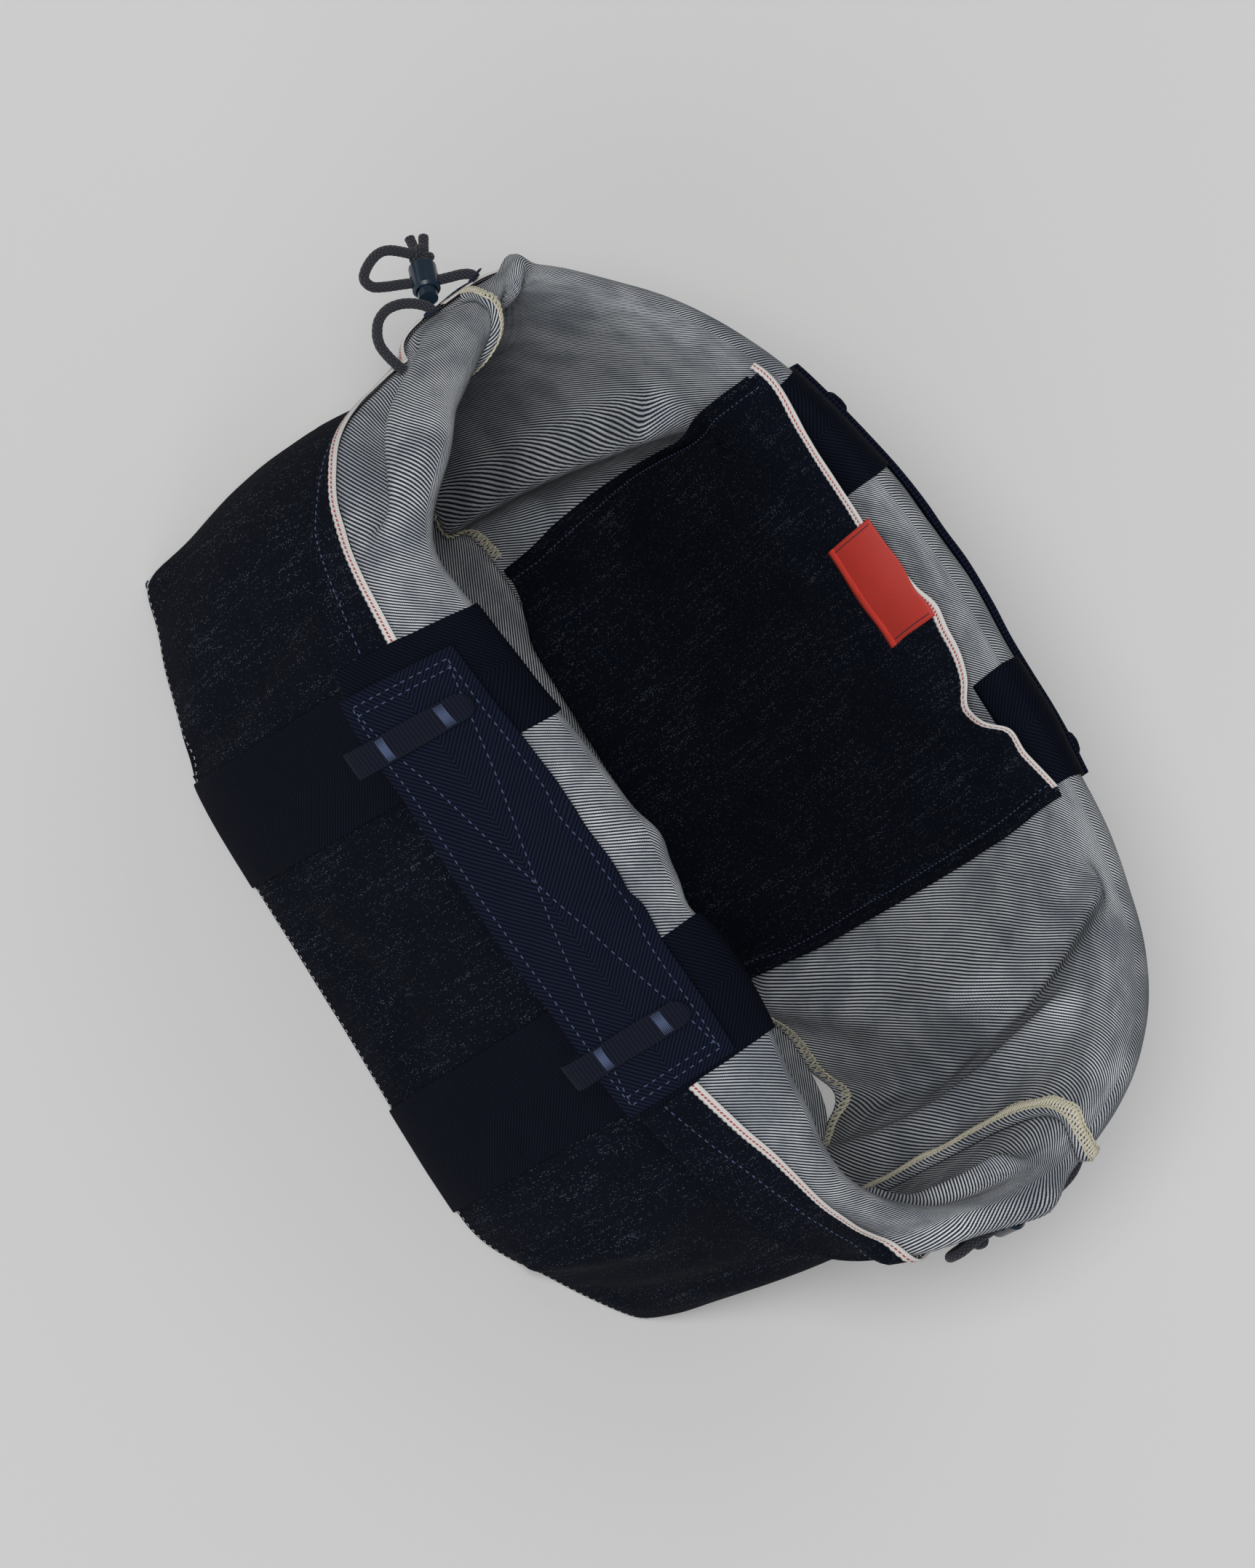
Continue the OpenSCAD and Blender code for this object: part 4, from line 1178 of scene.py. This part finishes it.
def overlocked_seam(name, seam, way, node):
    """A seam allowance that lies over to one side, with loops of thread wound round its edge."""
    v = np.concatenate([np.linspace(SEAM_FOOT, 1, 90), np.linspace(1, SEAM_HEAD, 30)[1:]])
    k = through(seam, v)
    share = np.array([0, 0.12, 0.3, 0.55, 0.8, 1.0])
    out = np.array([-0.2, 1.3, 2.2, 2.4, 2.2, 1.9])
    wander = 0.5 * np.sin(flat_v(v) / 9.0) + 0.4 * np.sin(flat_v(v) / 4.1 + 1)
    width = (6.0 + wander)[:, None] * share / STATION_MM
    o = -(CLOTH_T / 2 + out[None, :]) - 0.25 * wander[:, None] * share
    p = place(k[:, None] + way * width, v[:, None] + 0 * width, o)
    flap = p[:, ::-1] if way < 0 else p
    slab(name, flap.transpose(1, 0, 2), 1.5, [DENIM_BACK] * 3, "denim_inside", body="bag")
    far = distances(p[:, -1])
    at = lambda s, j: np.array([np.interp(s, far, p[:, j, c]) for c in range(3)])
    parts = []
    count = int(far[-1] / 1.55)
    for i in range(count):
        s = (i + 0.5) * 1.55
        inner, mid, edge, foot = at(s - 0.9, 2), at(s, 4), at(s + 0.5, 5), at(s + 1.3, 2)
        up = unit(at(s, 4) - sample_out(k, v, s, far))
        tip = edge + unit(edge - at(s + 0.5, 4)) * 0.75
        path = [inner + up * 0.9, mid + up * 1.15, tip, edge - up * 0.4, at(s + 0.9, 4) + up * 1.2,
                foot + up * 0.95]
        parts.append(tube_mesh(along(path, 1.1), 0.42, 6))
    for j, lift in ((2, 1.15), (5, 1.0)):
        s = np.arange(0.5, far[-1], 0.5)
        chain = np.stack([at(x, j) for x in s])
        up = unit(chain - np.stack([sample_out(k, v, x, far) for x in s]))
        side = unit(np.cross(np.gradient(chain, axis=0), up))
        raised = up * (lift + 0.15 * np.sin(s * 2.6))[:, None]
        chain = chain + raised + side * (0.35 * np.sin(s * 4.05))[:, None]
        parts.append(tube_mesh(chain, 0.36, 6))
    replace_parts(make(f"{name}_thread", *join(parts), [CREAM_THREAD], "overlock_thread", body="bag"), node)


def sample_out(k, v, s, far):
    """A point of the wall just outside the seam, to tell which way is up from the cloth."""
    i = int(np.clip(np.searchsorted(far, s), 1, len(far) - 1))
    return place(k[i:i + 1], v[i:i + 1], np.array([8.0]))[0]


overlocked_seam("seam_left", LEFT_SEAM, -1, "left_end_seam")
overlocked_seam("seam_right", RIGHT_SEAM, 1, "right_end_seam")


def base_overlock(name, spans):
    """Cream overlocking along the base seam, as two wandering threads."""
    parts = []
    for a, b in spans:
        k = run_k(a, b, 0.4)
        s = STATION_MM * k
        turn = s * 2 * np.pi / 2.4
        line = place(k, 0.025 + 0.012 * np.sin(turn), -1.4 - 0.5 * np.cos(turn))
        parts.append(tube_mesh(line, 0.4, 6))
        turn = s * 2 * np.pi / 1.7
        line = place(k, 0.035 + 0.008 * np.sin(turn + 1), -1.6 - 0.4 * np.cos(turn))
        parts.append(tube_mesh(line, 0.36, 6))
    return make(name, *join(parts), [CREAM_THREAD], "overlock_thread", body="bag")


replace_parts(base_overlock("base_seam_thread", [(6.9, 9.6), (14.95, 17.9)]), "back_base_seam")

# ---------------------------------------------------------------- stitching on the cloth
def hem_stitches(name, a, b, bend):
    """The row of stitches that closes the cord channel."""
    k = np.linspace(a, b, 400)
    v = np.minimum(hem_edge(k) + 14 / COLLAR_MM, 1.965)
    return stitches(name, [(k, v, np.full(k.shape, HEM_O - CLOTH_T / 2))], BLUE_THREAD, "denim_outside",
                    pitch=3.3, radius=0.26, bend=bend)


hem_stitches("hem_stitches_front", -5.9, 6.1, FRONT_BEND)
hem_stitches("hem_stitches_back", 6.4, 17.7, BACK_BEND)


def base_edge_stitches():
    """Broken pale bits of thread where the walls meet the base."""
    k = np.linspace(-5.4, 6.6, 500)
    row = (k, np.full(k.shape, 0.02), np.full(k.shape, 0.45))
    return stitches("base_edge_stitches", [row], PALE_THREAD, "denim_outside", pitch=3.0, share=0.38,
                    radius=0.22, body="bag")


base_edge_stitches()


def eyelet_piece(name, centre, out, node):
    """A worked eyelet: thread wound round a small hole."""
    out = unit(np.array(out, float))
    x = unit(np.cross(out, [0.3, 0.2, 1.0]))
    y = np.cross(out, x)
    parts = []
    n = 40
    for i in range(n):
        a = 2 * np.pi * i / n
        radial = np.cos(a) * x + np.sin(a) * y
        c = np.linspace(-0.3, np.pi + 0.3, 7)
        winding = np.stack([radial * (0.62 * np.cos(b)) + out * (0.35 * np.sin(b)) for b in c])
        path = centre + radial * 2.9 + winding
        parts.append(tube_mesh(path, 0.24, 6))
    o = make(name, *join(parts), [DARK_THREAD], "eyelet_thread", body="bag")
    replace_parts(o, node)


for name, node, line in (("eyelet_left", "left_eyelet", left_line),
                         ("eyelet_left_return", "left_return_eyelet", return_line),
                         ("eyelet_right", "right_eyelet", right_line)):
    lo, hi = np.array(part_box(node)) / MM
    eyelet_piece(name, (lo + hi) / 2, line[4] - line[0], node)


def loose_thread():
    """The end of thread at the left front corner of the base."""
    line = along([(-163, -58, 2.2), (-166, -60, 3.4), (-169.5, -61.5, 2.6), (-171.5, -60, 1.4),
                  (-172.2, -58.4, 1.0)], 0.3)
    return make("loose_thread", *tube_mesh(line, 0.28, 8), [DARK_THREAD], "denim_outside", body="bag")


loose_thread()

# ---------------------------------------------------------------- carried-over hardware
# The press travel is longer than the spring, so pressed, the spring's rings would flatten to what room the
# bore leaves them.
# Real wire can't do that: the bore is too short. Here each spring only keeps its solid and gets its own mesh.
PRESS_AXIS = {"left": (-0.74049, 0.57853, -0.34202), "right": (0.0, 0.0, -1.0)}


def carried_over(node, material):
    """A hard part that keeps its solid and gets a material."""
    o = bpy.data.objects[node]
    o.data.materials.clear()
    o.data.materials.append(material)
    return o


for side in ("left", "right"):
    for part in ("barrel", "plunger"):
        carried_over(f"{side}_lock_{part}", PLASTIC)
for side, axis in PRESS_AXIS.items():
    spring = carried_over(f"{side}_lock_spring", STEEL)
    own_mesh(spring)

# ---------------------------------------------------------------- floor
floor_mesh = bpy.data.meshes.new("floor")
floor_mesh.from_pydata([(-6, -6, 0), (6, -6, 0), (6, 6, 0), (-6, 6, 0)], [], [(0, 1, 2, 3)])
floor_mesh.materials.append(floor_material())
floor = bpy.data.objects.new("floor", floor_mesh)
bpy.context.scene.collection.objects.link(floor)
